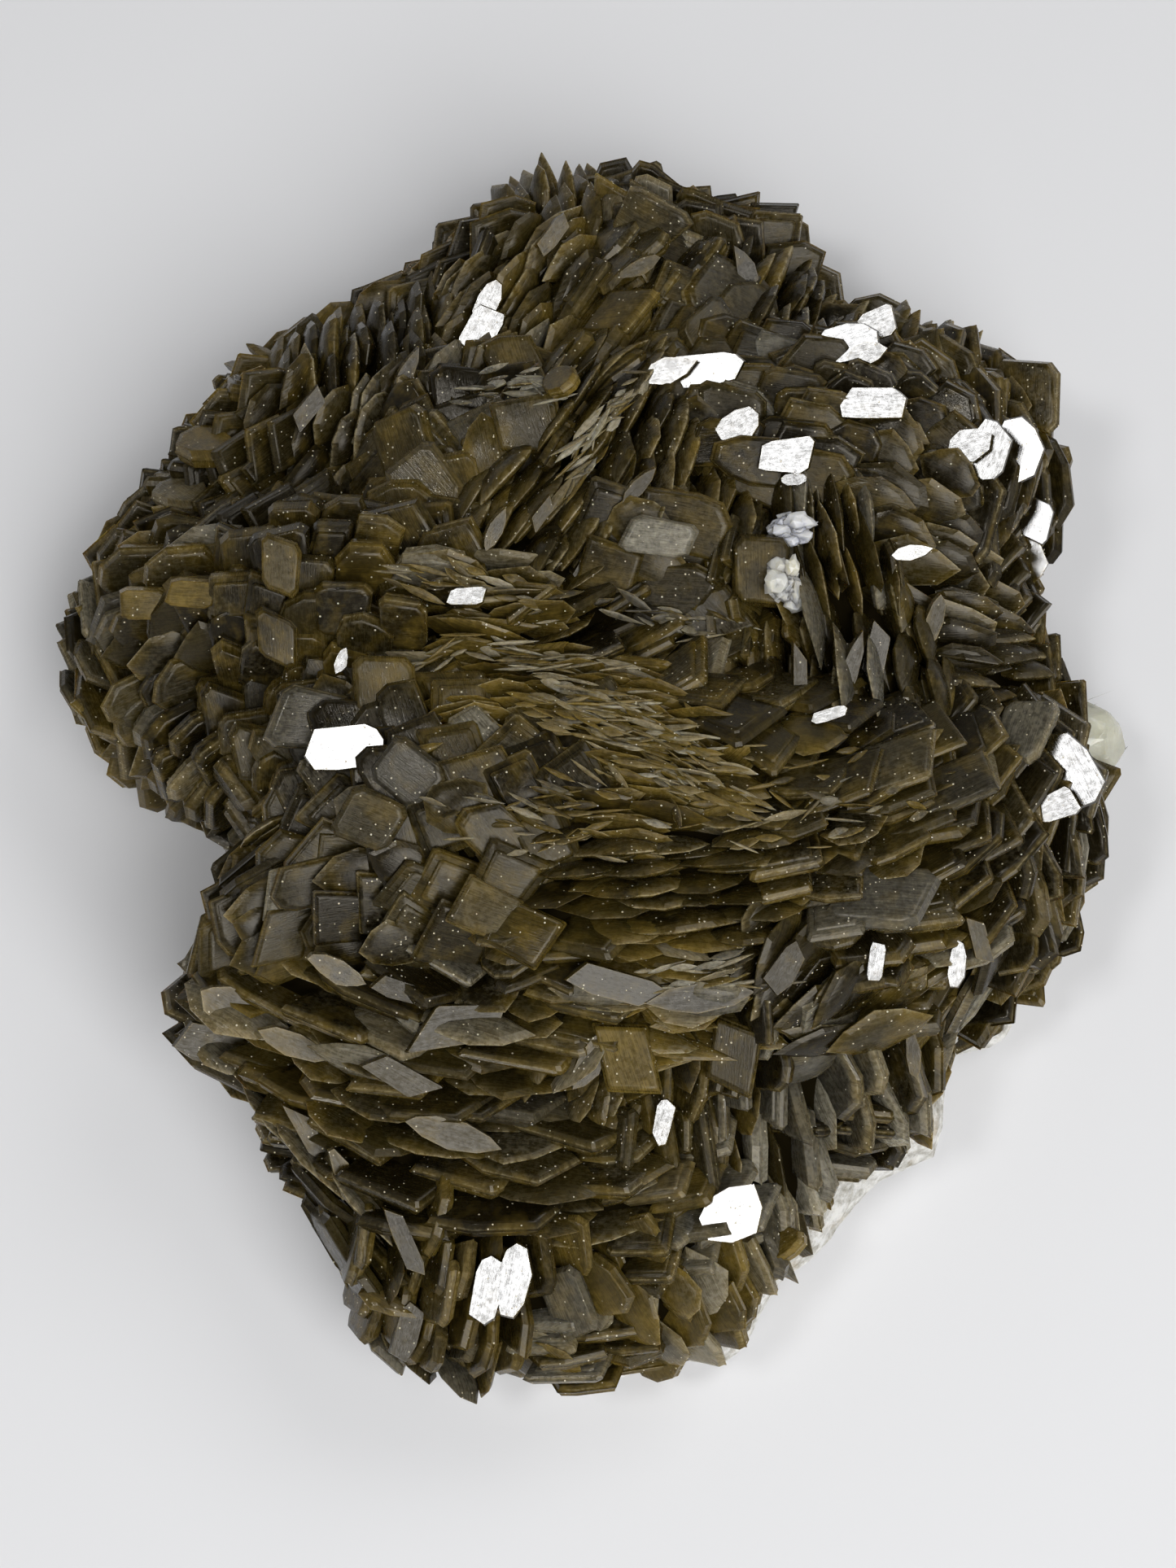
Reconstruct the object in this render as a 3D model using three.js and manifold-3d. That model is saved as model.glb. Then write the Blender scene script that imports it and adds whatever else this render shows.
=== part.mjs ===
// A cluster of bladed siderite crystals on a slab of white rock.
// Millimetres, +Z up. The origin is on the flat cut underside of the rock, below the middle of the cluster.
// +X runs to the right and +Y to the back, along the cluster's length.
import * as THREE from "three";
import { mergeVertices } from "three/addons/utils/BufferGeometryUtils.js";
import Module from "manifold-3d";

const wasm = await Module();
wasm.setup();

// ---- Driving dimensions ------------------------------------------------------------------------------------

// The cluster's outer edge seen from above, counter-clockwise from the back.
const EDGE = [
  [-4, 94], [-13, 90], [-19, 83], [-31, 73], [-44, 68], [-54, 58], [-62, 43], [-72, 29], [-73, 18],
  [-68, 7], [-58, -4], [-47, -12], [-48, -22], [-53, -31], [-55, -40], [-44, -47], [-36, -59],
  [-29, -72], [-28, -80], [-15, -85], [0, -86], [20, -81], [27, -71], [36, -61], [49, -53], [52, -39],
  [59, -36], [68, -20], [72, -8], [72, 4], [69, 10], [65, 16], [62, 22], [63, 33], [67, 43], [66, 53],
  [60, 62], [49, 69], [36, 70], [31, 83], [15, 89],
];

// The rounded heaps that make up the top: centre x and y, half widths, turn in degrees, height of the top.
const HEAPS = [
  [4, -17, 66, 24, 0, 50],
  [39, 30, 34, 32, 0, 46],
  [0, 32, 22, 26, 35, 44],
  [9, 72, 30, 20, 0, 38],
  [-32, 49, 26, 16, 40, 36],
  [-57, 10, 22, 26, 0, 30],
  [-25, 16, 34, 12, -5, 46],
  [-34, -44, 22, 18, 0, 38],
  [-4, -68, 34, 22, 0, 32],
  [43, -46, 24, 26, 0, 29],
  [59, -18, 18, 26, 0, 31],
];
const HEAP_FALL = 0.35; // how fast a heap falls away from its centre
const HEAP_BLEND = 8; // how sharply one heap takes over from the next

const BODY_INSET = 6; // the body under the crystals lies this far inside the outer edge
const BODY_INSET_BY_ROCK = 1.5; // and this much more where the rock shows
const RIM_HEIGHT = 15; // the body is widest here
const BODY_UNDERSIDE = 5;
const SHOULDER = 5; // how square the body's shoulder is
const BODY_SECTORS = 36;

const ROCK_INSET = 11; // the rock's side lies this far inside the outer edge
const ROCK_SHOWS = { towards: -52, spread: 42, reach: 9 }; // at the front right it shows
const ROCK_HEIGHT = 11;
const ROCK_RIPPLE = 0.7;
const ROCK_SECTORS = 40;

const CLEARANCE = 0.3; // between pieces that touch

const BLADE = { long: 16, wide: 13, thick: 4, foot: 0.88 };
const STAND_OUT = [5, 8.8]; // least and most that a blade stands out of the body
const ROOTED = 1.3; // of a blade's reach of 2, the most that may stand out
const SPACING = 11.2; // between blades on the top
const TOP_SHARE = 0.93; // how much of the body's radius those blades cover
const RIM_SPACING = 7.2; // between blades round the side
const RIM_ROWS = [{ lift: -3, share: 1 }, { lift: 9, share: 0.96 }]; // their height and share of the radius
const DRIFT = 0.12; // how far a blade may stray from its place, as a share of the spacing
const SPIN = 14; // how far a blade may turn in its own plane, in degrees

// Sheaves of parallel blades: centre x and y, the direction that their upper edges face and how steeply they
// stand, in degrees.
const SHEAVES = [
  [-51, 53, 235, 60], [-32, 56, 0, 68], [-34, 41, 150, 62], [-23, 36, 45, 32], [-53, 43, 270, 38],
  [-58, 30, 95, 55], [-70, 16, 200, 28], [-56, 6, 120, 50], [-66, 3, 215, 62], [-44, -11, 128, 62],
  [-36, 10, 90, 38], [-19, 16, 84, 66], [-31, -1, 98, 34], [-9, 3, 86, 68], [-11, 23, 330, 60],
  [-9, 41, 80, 22], [-1, 40, 325, 70], [6, 56, 330, 40], [8, 30, 345, 56], [2, 11, 300, 46],
  [13, 16, 60, 24], [-13, 80, 20, 56], [-7, 59, 145, 64], [6, 84, 70, 48], [17, 59, 150, 28],
  [30, 78, 10, 60], [42, 65, 60, 30], [53, 53, 330, 50], [28, 39, 82, 46], [43, 36, 70, 36],
  [55, 32, 5, 32], [62, 45, 30, 38], [34, 21, 15, 74], [32, 4, 188, 64], [49, 14, 84, 60],
  [55, 6, 265, 46], [24, -11, 280, 28], [43, -13, 305, 30], [55, -5, 350, 30], [8, -15, 82, 64],
  [4, -26, 275, 54], [37, -27, 280, 24], [-9, -15, 100, 30], [-32, -19, 105, 32], [-40, -27, 125, 38],
  [-17, -27, 105, 34], [-5, -33, 300, 22], [-34, -39, 247, 44], [-19, -38, 245, 34], [12, -37, 270, 24],
  [28, -36, 150, 60], [-29, -50, 255, 40], [2, -46, 355, 52], [21, -50, 8, 64], [-33, -58, 43, 62],
  [-11, -52, 262, 42], [10, -63, 295, 34], [-17, -73, 355, 70], [8, -73, 80, 56], [33, -48, 25, 62],
  [41, -54, 20, 60], [57, -17, 20, 62], [66, -9, 30, 40], [52, -31, 150, 58], [59, -28, 322, 48],
];
const RIM_SHEAVES = 20; // more of them round the widest part, facing outwards
const RIM_SHEAF_DIP = [24, 52];
const RIM_SHEAF_ASIDE = 35;

const QUARTZ = { at: [68.6, 5.5, 13], across: 12.8, tall: 11.5, lean: 50, towards: 30 };
const CALCITES = {
  calcite_upper: { at: [26.6, 21, 47], size: [5.6, 3.6, 8], shear: 0.12, turn: 12 },
  calcite_lower: { at: [25.3, 13, 46.5], size: [4.2, 5.8, 8], shear: 0.12, turn: -24 },
};

// ---- Small helpers -----------------------------------------------------------------------------------------

const degrees = (angle) => (angle * Math.PI) / 180;
const mix = (low, high, share) => low + (high - low) * share;
const wholeTurn = 2 * Math.PI;

// A repeatable stream of numbers between 0 and 1.
let seed = 20231;
function chance() {
  seed = (seed * 16807) % 2147483647;
  return seed / 2147483647;
}
const between = (low, high) => mix(low, high, chance());

// The edge as radius against direction, read by straight lines between its points.
const edgeRays = EDGE.map(([x, y]) => ({ turn: Math.atan2(y, x), radius: Math.hypot(x, y) }));
edgeRays.sort((a, b) => a.turn - b.turn);
function edgeRadius(turn) {
  const count = edgeRays.length;
  let after = edgeRays.findIndex((ray) => ray.turn > turn);
  if (after < 0) after = count;
  const low = edgeRays[(after - 1 + count) % count];
  const high = edgeRays[after % count];
  const span = (high.turn - low.turn + wholeTurn) % wholeTurn;
  const along = (turn - low.turn + wholeTurn) % wholeTurn;
  return mix(low.radius, high.radius, along / span);
}

// 1 straight towards the side where the rock shows, falling to 0 beyond its spread.
function rockShare(turn) {
  const off = Math.abs(((turn - degrees(ROCK_SHOWS.towards) + 1.5 * wholeTurn) % wholeTurn) - Math.PI);
  return Math.exp(-((off / degrees(ROCK_SHOWS.spread)) ** 2));
}

// ---- The body under the crystals ---------------------------------------------------------------------------

const bodyRadius = (turn) => edgeRadius(turn) - BODY_INSET - BODY_INSET_BY_ROCK * rockShare(turn);

function heapHeight(x, y) {
  let sum = 0;
  for (const [cx, cy, across, along, turn, top] of HEAPS) {
    const cos = Math.cos(degrees(turn));
    const sin = Math.sin(degrees(turn));
    const u = ((x - cx) * cos + (y - cy) * sin) / across;
    const v = ((y - cy) * cos - (x - cx) * sin) / along;
    const height = top / (1 + HEAP_FALL * (u * u + v * v) ** 1.5);
    sum += height ** HEAP_BLEND;
  }
  return sum ** (1 / HEAP_BLEND);
}

const climbAt = (out) => Math.sqrt(1 - out ** SHOULDER);

function bodyTop(x, y) {
  const out = Math.min(0.98, Math.hypot(x, y) / bodyRadius(Math.atan2(y, x)));
  return new THREE.Vector3(x, y, RIM_HEIGHT + (heapHeight(x, y) - RIM_HEIGHT) * climbAt(out));
}

// Below 0 inside the body and above 0 outside it.
function bodyLevel(p) {
  const out = Math.hypot(p.x, p.y) / bodyRadius(Math.atan2(p.y, p.x));
  const span = p.z > RIM_HEIGHT ? heapHeight(p.x, p.y) - RIM_HEIGHT : RIM_HEIGHT - BODY_UNDERSIDE;
  return ((p.z - RIM_HEIGHT) / span) ** 2 + out ** SHOULDER - 1;
}

// The direction straight out of the body at a point, as long as the level's slope there.
function bodySlope(p) {
  const step = 0.5;
  const slope = new THREE.Vector3();
  for (const axis of ["x", "y", "z"]) {
    const ahead = p.clone();
    const behind = p.clone();
    ahead[axis] += step;
    behind[axis] -= step;
    slope[axis] = (bodyLevel(ahead) - bodyLevel(behind)) / (2 * step);
  }
  return slope;
}

// A lathe turned about Z and closed, with only its positions kept.
function turnedShape(profile, sectors) {
  const points = profile.map(([radius, height]) => new THREE.Vector2(radius, height));
  return new THREE.LatheGeometry(points, sectors).rotateX(Math.PI / 2);
}

// A closed geometry as a solid that can be joined and cut.
function solidFrom(geometry) {
  geometry.deleteAttribute("normal");
  geometry.deleteAttribute("uv");
  const merged = mergeVertices(geometry, 1e-4);
  const corners = merged.index.array;
  const kept = [];
  for (let i = 0; i < corners.length; i += 3) {
    const [a, b, c] = [corners[i], corners[i + 1], corners[i + 2]];
    if (a !== b && b !== c && c !== a) kept.push(a, b, c);
  }
  const mesh = new wasm.Mesh({
    numProp: 3,
    vertProperties: new Float32Array(merged.attributes.position.array),
    triVerts: new Uint32Array(kept),
  });
  return new wasm.Manifold(mesh);
}

// Moves each point of a unit lathe: its radius by the direction and its height by a function of x, y and height.
function reshape(geometry, radiusOf, heightOf) {
  const place = geometry.attributes.position;
  for (let i = 0; i < place.count; i++) {
    const turn = Math.atan2(place.getY(i), place.getX(i));
    const radius = Math.hypot(place.getX(i), place.getY(i)) * radiusOf(turn);
    const x = radius * Math.cos(turn);
    const y = radius * Math.sin(turn);
    place.setXYZ(i, x, y, heightOf(x, y, place.getZ(i)));
  }
  return geometry;
}

function bodySolid() {
  const under = [0, 0.85].map((out) => [out, -climbAt(out)]);
  const over = [0.95, 0.8, 0.6, 0.35, 0].map((out) => [out, climbAt(out)]);
  const heightOf = (x, y, climb) =>
    RIM_HEIGHT + climb * (climb > 0 ? heapHeight(x, y) - RIM_HEIGHT : RIM_HEIGHT - BODY_UNDERSIDE);
  const lathe = turnedShape([...under, [1, 0], ...over], BODY_SECTORS);
  return solidFrom(reshape(lathe, bodyRadius, heightOf));
}

// ---- The rock ----------------------------------------------------------------------------------------------

// The rock, or with a margin the room that the crystals leave for it.
function rockSolid(margin) {
  const radiusOf = (turn) => {
    const ripple = ROCK_RIPPLE * (Math.sin(9 * turn) + Math.sin(23 * turn + 1));
    return edgeRadius(turn) - ROCK_INSET + ROCK_SHOWS.reach * rockShare(turn) + ripple + margin;
  };
  const heightOf = (x, y, share) => {
    if (share <= 0) return -margin;
    const lump = ROCK_RIPPLE * (Math.sin(0.31 * x + 1) + Math.sin(0.27 * y));
    return share * (ROCK_HEIGHT + lump) + margin;
  };
  const profile = [[0, 0], [0.96, 0], [1, 0.35], [0.97, 0.75], [0.86, 1], [0.45, 1], [0, 1]];
  return solidFrom(reshape(turnedShape(profile, ROCK_SECTORS), radiusOf, heightOf));
}

// ---- The crystals ------------------------------------------------------------------------------------------

// One blade: a flat lozenge, a little narrower on its far face.
function bladeShape() {
  const { long, wide, thick, foot } = BLADE;
  const profile = [[0, -0.5], [foot, -0.5], [1, 0.5], [0, 0.5]];
  return turnedShape(profile, 4).scale(long / 2, wide / 2, thick);
}

// Places spread evenly over the body's top, in staggered rows.
function topPlaces() {
  const places = [];
  const farthest = Math.max(...edgeRays.map((ray) => ray.radius));
  const rows = Math.ceil((1.2 * farthest) / SPACING);
  for (let row = -rows; row <= rows; row++) {
    for (let column = -rows; column <= rows; column++) {
      const stagger = row % 2 ? 0.5 : 0;
      const x = (column + stagger + between(-DRIFT, DRIFT)) * SPACING;
      const y = (row + between(-DRIFT, DRIFT)) * SPACING * Math.sqrt(0.75);
      if (Math.hypot(x, y) < bodyRadius(Math.atan2(y, x)) * TOP_SHARE) places.push(bodyTop(x, y));
    }
  }
  return places;
}

// Places round the body's side, low and high by turns.
function rimPlaces() {
  const places = [];
  let turn = -Math.PI;
  for (let i = 0; turn < Math.PI; i++) {
    const { lift, share } = RIM_ROWS[i % RIM_ROWS.length];
    const radius = bodyRadius(turn) * share;
    places.push(new THREE.Vector3(radius * Math.cos(turn), radius * Math.sin(turn), RIM_HEIGHT + lift));
    turn += (RIM_SPACING / radius) * between(1 - DRIFT, 1 + DRIFT);
  }
  return places;
}

function sheafAt(centre, facing, dip) {
  const turn = degrees(facing);
  const steep = degrees(dip);
  const upward = new THREE.Vector3(
    Math.cos(steep) * Math.cos(turn), Math.cos(steep) * Math.sin(turn), Math.sin(steep));
  const level = new THREE.Vector3(-Math.sin(turn), Math.cos(turn), 0);
  return { centre, upward, level, flat: upward.clone().cross(level) };
}

// The centre of a sheaf is set on the body's top above its place.
function topSheaves() {
  return SHEAVES.map(([x, y, facing, dip]) => sheafAt(bodyTop(x, y), facing, dip));
}

function rimSheaves() {
  return Array.from({ length: RIM_SHEAVES }, (_, i) => {
    const turn = -Math.PI + (wholeTurn * (i + 0.5)) / RIM_SHEAVES;
    const radius = bodyRadius(turn);
    const height = RIM_HEIGHT + RIM_ROWS[0].lift;
    const centre = new THREE.Vector3(radius * Math.cos(turn), radius * Math.sin(turn), height);
    const aside = i % 2 ? RIM_SHEAF_ASIDE : -RIM_SHEAF_ASIDE;
    return sheafAt(centre, (turn * 180) / Math.PI + aside, RIM_SHEAF_DIP[i % 2]);
  });
}

// A blade at a place on the body, turned as its sheaf's blades are, and standing out by part of its width.
function bladeAt(place, sheaf) {
  const out = bodySlope(place).normalize();
  const tilted = Math.hypot((BLADE.long / 2) * sheaf.level.dot(out), (BLADE.wide / 2) * sheaf.upward.dot(out));
  const reach = tilted + (BLADE.thick / 2) * Math.abs(sheaf.flat.dot(out));
  const standOut = Math.min(between(...STAND_OUT), reach * ROOTED);
  const middle = place.clone().addScaledVector(out, standOut - reach);
  const spin = new THREE.Matrix4().makeRotationZ(degrees(between(-SPIN, SPIN)));
  const frame = new THREE.Matrix4().makeBasis(sheaf.level, sheaf.upward, sheaf.flat.clone().negate());
  return solidFrom(bladeShape().applyMatrix4(frame.setPosition(middle).multiply(spin)));
}

function nearestSheaf(p, sheaves) {
  let best = null;
  let least = Infinity;
  for (const sheaf of sheaves) {
    const distance = sheaf.centre.distanceToSquared(p);
    if (distance < least) [least, best] = [distance, sheaf];
  }
  return best;
}

function largestBody(solid) {
  return solid.decompose().reduce((a, b) => (b.volume() > a.volume() ? b : a));
}

function crystalCluster() {
  const sheaves = [...topSheaves(), ...rimSheaves()];
  let cluster = bodySolid();
  for (const place of [...topPlaces(), ...rimPlaces()]) {
    cluster = cluster.add(bladeAt(place, nearestSheaf(place, sheaves)));
  }
  return cluster;
}

// A rounded crystal with many flat faces, leaning from upright towards a direction.
function quartzShape(margin) {
  const { at, across, tall, lean, towards } = QUARTZ;
  const half = across / 2 + margin;
  const end = tall / 2 + margin;
  const profile = [[0, -end], [half * 0.72, -end * 0.8], [half, -end * 0.15], [half * 0.86, end * 0.55], [0, end]];
  return turnedShape(profile, 8)
    .rotateY(degrees(lean))
    .rotateZ(degrees(towards))
    .translate(...at);
}

// A small cleaved block with slanting faces.
function calciteShape({ at, size, shear, turn }, margin) {
  const slant = new THREE.Matrix4().makeShear(0, 0, shear, 0, shear, 0);
  return new THREE.BoxGeometry(...size.map((side) => side + 2 * margin))
    .applyMatrix4(slant)
    .rotateZ(degrees(turn))
    .translate(...at);
}

// ---- The pieces, each a mesh of its own --------------------------------------------------------------------

function meshFrom(name, solid, colour, roughness) {
  const { numProp, vertProperties, triVerts } = solid.getMesh();
  const geometry = new THREE.BufferGeometry();
  geometry.setAttribute("position", new THREE.BufferAttribute(vertProperties, numProp));
  geometry.setIndex(new THREE.BufferAttribute(triVerts, 1));
  const material = new THREE.MeshStandardMaterial({ color: colour, roughness, metalness: 0 });
  const mesh = new THREE.Mesh(geometry, material);
  mesh.name = name;
  return mesh;
}

const group = new THREE.Group();
let siderite = crystalCluster().subtract(rockSolid(CLEARANCE));
siderite = siderite.subtract(solidFrom(quartzShape(CLEARANCE)));
for (const crystal of Object.values(CALCITES)) {
  siderite = siderite.subtract(solidFrom(calciteShape(crystal, CLEARANCE)));
}
group.add(meshFrom("siderite_crystals", largestBody(siderite), 0x453d24, 0.4));
group.add(meshFrom("matrix", rockSolid(0), 0xe6e1d6, 0.8));
group.add(meshFrom("quartz_crystal", solidFrom(quartzShape(0)), 0xe9e3cf, 0.25));
for (const [name, crystal] of Object.entries(CALCITES)) {
  group.add(meshFrom(name, solidFrom(calciteShape(crystal, 0)), 0xefe9d8, 0.35));
}

export default group;
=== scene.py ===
import math
from types import SimpleNamespace
import bpy
import bmesh
import numpy as np
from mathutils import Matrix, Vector, noise


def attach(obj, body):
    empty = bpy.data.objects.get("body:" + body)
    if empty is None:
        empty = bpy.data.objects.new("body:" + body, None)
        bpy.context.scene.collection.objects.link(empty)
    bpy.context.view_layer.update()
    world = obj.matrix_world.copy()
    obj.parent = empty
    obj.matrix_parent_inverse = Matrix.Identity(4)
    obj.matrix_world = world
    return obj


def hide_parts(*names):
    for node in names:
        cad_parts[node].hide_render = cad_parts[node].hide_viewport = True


# A cluster of bladed siderite crystals on white rock.
# Lengths in the tables and in the form's arithmetic are millimetres. MM brings them to metres.

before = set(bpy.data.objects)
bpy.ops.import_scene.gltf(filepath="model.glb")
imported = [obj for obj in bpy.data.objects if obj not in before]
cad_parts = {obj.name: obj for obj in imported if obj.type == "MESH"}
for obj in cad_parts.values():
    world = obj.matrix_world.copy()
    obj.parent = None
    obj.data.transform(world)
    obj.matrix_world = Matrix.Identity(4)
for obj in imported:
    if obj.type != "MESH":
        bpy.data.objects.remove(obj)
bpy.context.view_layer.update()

MM = 0.001
BODY = "root"
FULL_TURN = 2 * math.pi
TINY = 0.001

# One seed for each thing that is left to chance.
SEEDS = {
    "growing": 7, "frosting": 10, "splintering": 15,
    "siderite_blades": 11, "siderite_rhombs": 11, "standing_crystals": 12, "mirror_plates": 13,
    "grey_plates": 13, "golden_splinters": 14, "milky_quartz": 3, "calcite_upper": 5, "calcite_lower": 6,
}


def chance_for(work):
    return np.random.default_rng(SEEDS[work])


# ---- Where the camera and the lights stand --------------------------------------------------------------

TARGET = Vector((0.0005, -0.005, 0.025))
# Each stands so many degrees round from +X and up from level, and so many metres from the target.
CAMERA = (-90, 70, 0.4)
LEFT_LIGHT = (-150, 66, 1.2)
FRONT_LIGHT = (-62, 48, 1.2)
BACK_LIGHT = (35, 50, 1.3)


def way(around, climb):
    """The direction so many degrees round from +X and up from level."""
    turn, steep = math.radians(around), math.radians(climb)
    return np.array([math.cos(steep) * math.cos(turn), math.cos(steep) * math.sin(turn), math.sin(steep)])


def stand(around, climb, distance):
    return TARGET + Vector(way(around, climb)) * distance


# ---- The cluster's form ---------------------------------------------------------------------------------

# The outer edge seen from above, counter-clockwise from the back.
EDGE = [
    (-4, 94), (-13, 90), (-19, 83), (-31, 73), (-44, 68), (-54, 58), (-62, 43), (-72, 29), (-73, 18),
    (-68, 7), (-58, -4), (-47, -12), (-48, -22), (-53, -31), (-55, -40), (-44, -47), (-36, -59),
    (-29, -72), (-28, -80), (-15, -85), (0, -86), (20, -81), (27, -71), (36, -61), (49, -53), (52, -39),
    (59, -36), (68, -20), (72, -8), (72, 4), (69, 10), (65, 16), (62, 22), (63, 33), (67, 43), (66, 53),
    (60, 62), (49, 69), (36, 70), (31, 83), (15, 89),
]

# The rounded heaps of the top: centre x and y, half widths, turn in degrees, height of the top.
HEAPS = [
    (4, -17, 66, 24, 0, 50), (39, 30, 34, 32, 0, 46), (0, 32, 22, 26, 35, 44), (9, 72, 30, 20, 0, 38),
    (-32, 49, 26, 16, 40, 36), (-57, 10, 22, 26, 0, 30), (-25, 16, 34, 12, -5, 46),
    (-34, -44, 22, 18, 0, 38), (-4, -68, 34, 22, 0, 32), (43, -46, 24, 26, 0, 29),
    (59, -18, 18, 26, 0, 31),
]
HEAP_FALL = 0.35  # how fast a heap falls away from its centre
HEAP_BLEND = 8  # how sharply one heap takes over from the next
BODY_INSET = 6  # the body under the crystals lies this far inside the outer edge
BODY_INSET_BY_ROCK = 1.5  # and this much more on the side where the rock shows
RIM_HEIGHT = 15  # the body is widest here
UNDERSIDE = 5
SHOULDER = 5  # how square the body's shoulder is
MOST_SHARE = 0.98  # past this share of the body's radius its top stays level
ROCK_SIDE = math.radians(-52)
ROCK_SPREAD = math.radians(42)
# The places round the side where bare rock shows: direction and spread in degrees, and strength.
ROCK_OUTCROPS = [(-52, 37, 1.0), (-157, 14, 0.75), (162, 8, 0.6), (-93, 9, 0.55)]
OUTCROP_EDGE = 4  # how sharply an outcrop ends

rays = sorted((math.atan2(y, x), math.hypot(x, y)) for x, y in EDGE)
RAY_TURNS = np.array([turn for turn, _ in rays])
RAY_RADII = np.array([radius for _, radius in rays])


def apart(turn, other):
    """The angle between two directions, at most half a turn."""
    return np.abs((turn - other + math.pi) % FULL_TURN - math.pi)


def edge_radius(turn):
    return np.interp(turn, RAY_TURNS, RAY_RADII, period=FULL_TURN)


def rock_reach(turn):
    """How far the rock comes out from under the crystals, from 0 to 1."""
    total = 0
    for middle, spread, much in ROCK_OUTCROPS:
        off = apart(turn, math.radians(middle)) / math.radians(spread)
        total = total + much * np.exp(-(off ** OUTCROP_EDGE))
    return np.minimum(total, 1)


def body_radius(turn):
    by_rock = np.exp(-((apart(turn, ROCK_SIDE) / ROCK_SPREAD) ** 2))
    return edge_radius(turn) - BODY_INSET - BODY_INSET_BY_ROCK * by_rock


def heap_height(x, y):
    total = 0
    for middle_x, middle_y, across, along, turn, top in HEAPS:
        cos, sin = math.cos(math.radians(turn)), math.sin(math.radians(turn))
        u = ((x - middle_x) * cos + (y - middle_y) * sin) / across
        v = ((y - middle_y) * cos - (x - middle_x) * sin) / along
        total = total + (top / (1 + HEAP_FALL * (u * u + v * v) ** 1.5)) ** HEAP_BLEND
    return total ** (1 / HEAP_BLEND)


def body_top(x, y):
    """The height of the body's top over a place."""
    share = np.minimum(MOST_SHARE, np.hypot(x, y) / body_radius(np.arctan2(y, x)))
    return RIM_HEIGHT + (heap_height(x, y) - RIM_HEIGHT) * np.sqrt(1 - share ** SHOULDER)


def half_height(x, y, above):
    """How far the body reaches up from its rim over a place, or down from it."""
    return np.where(above, heap_height(x, y) - RIM_HEIGHT, RIM_HEIGHT - UNDERSIDE)


def level(points):
    """Below 0 inside the body and above 0 outside it, for an array of points."""
    x, y, z = points[..., 0], points[..., 1], points[..., 2]
    out = np.hypot(x, y) / body_radius(np.arctan2(y, x))
    return ((z - RIM_HEIGHT) / half_height(x, y, z > RIM_HEIGHT)) ** 2 + out ** SHOULDER - 1


def outward(points):
    """Unit directions straight out of the body."""
    step = 0.5
    slopes = [level(points + step * axis) - level(points - step * axis) for axis in np.eye(3)]
    slope = np.stack(slopes, axis=-1)
    return slope / np.linalg.norm(slope, axis=-1, keepdims=True)


def drop_to_body(points, direction, reach):
    """Where lines that come in along a direction first meet the body, and which of them do."""
    stride, halvings = 1.0, 6
    steps = np.arange(reach, -reach, -stride)
    line = points[:, None, :] + steps[None, :, None] * direction
    inside = level(line) < 0
    hit = inside.any(axis=1) & ~inside[:, 0]
    low = steps[inside.argmax(axis=1)]
    high = low + stride
    for _ in range(halvings):
        middle = (low + high) / 2
        within = level(points + middle[:, None] * direction) < 0
        low = np.where(within, middle, low)
        high = np.where(within, high, middle)
    return points + low[:, None] * direction, hit


def over_body(x, y, over):
    """A point that lies over a given centre, and a given way straight out of the body."""
    middle = np.array([x, y])
    foot = middle.copy()
    rounds = 6
    for _ in range(rounds):
        root = np.array([[foot[0], foot[1], float(body_top(*foot))]])
        out = outward(root)[0]
        foot = middle - over * out[:2]
    return root[0] + over * out


# ---- The sheaves of crystals ----------------------------------------------------------------------------

# How each habit's crystals measure: long, wide, thick, and from one layer to the next.
# Then how golden they are, and which outlines they take.
HABITS = {
    "leaf": (11.4, 8.0, 2.4, 2.45, 0.08, ("leaf", "leaf_bent", "leaf", "spindle")),
    "tile": (10.4, 8.6, 1.5, 2.5, 0.12, ("rhomb", "leaf", "rhomb_cut", "slab", "rhomb_stepped")),
    "thick": (11.0, 9.4, 2.2, 2.9, 0.22, ("shield", "rhomb_worn", "rhomb_stepped", "rhomb_cut")),
    "blade": (12.6, 8.6, 1.8, 2.05, 0.1, ("spindle", "leaf", "leaf_bent")),
    "fibre": (12.0, 6.0, 0.9, 1.15, 0.6, ("spindle", "leaf_bent")),
    "petal": (9.8, 8.4, 1.7, 2.5, 0.14, ("shield", "rhomb_worn", "leaf", "rhomb_cut")),
    "long": (15.5, 9.8, 1.8, 3.7, 0.1, ("slab", "rhomb_cut", "rhomb", "leaf")),
    "broad": (12.4, 10.0, 2.3, 3.5, 0.12, ("shield", "leaf", "rhomb_worn")),
    "shell": (9.8, 8.6, 1.7, 2.6, 0.5, ("shield", "rhomb_worn", "leaf", "rhomb_cut")),
    "block": (8.0, 8.0, 2.9, 3.5, 0.4, ("rhomb_worn", "shield", "rhomb_stepped", "rhomb_cut")),
}

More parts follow.
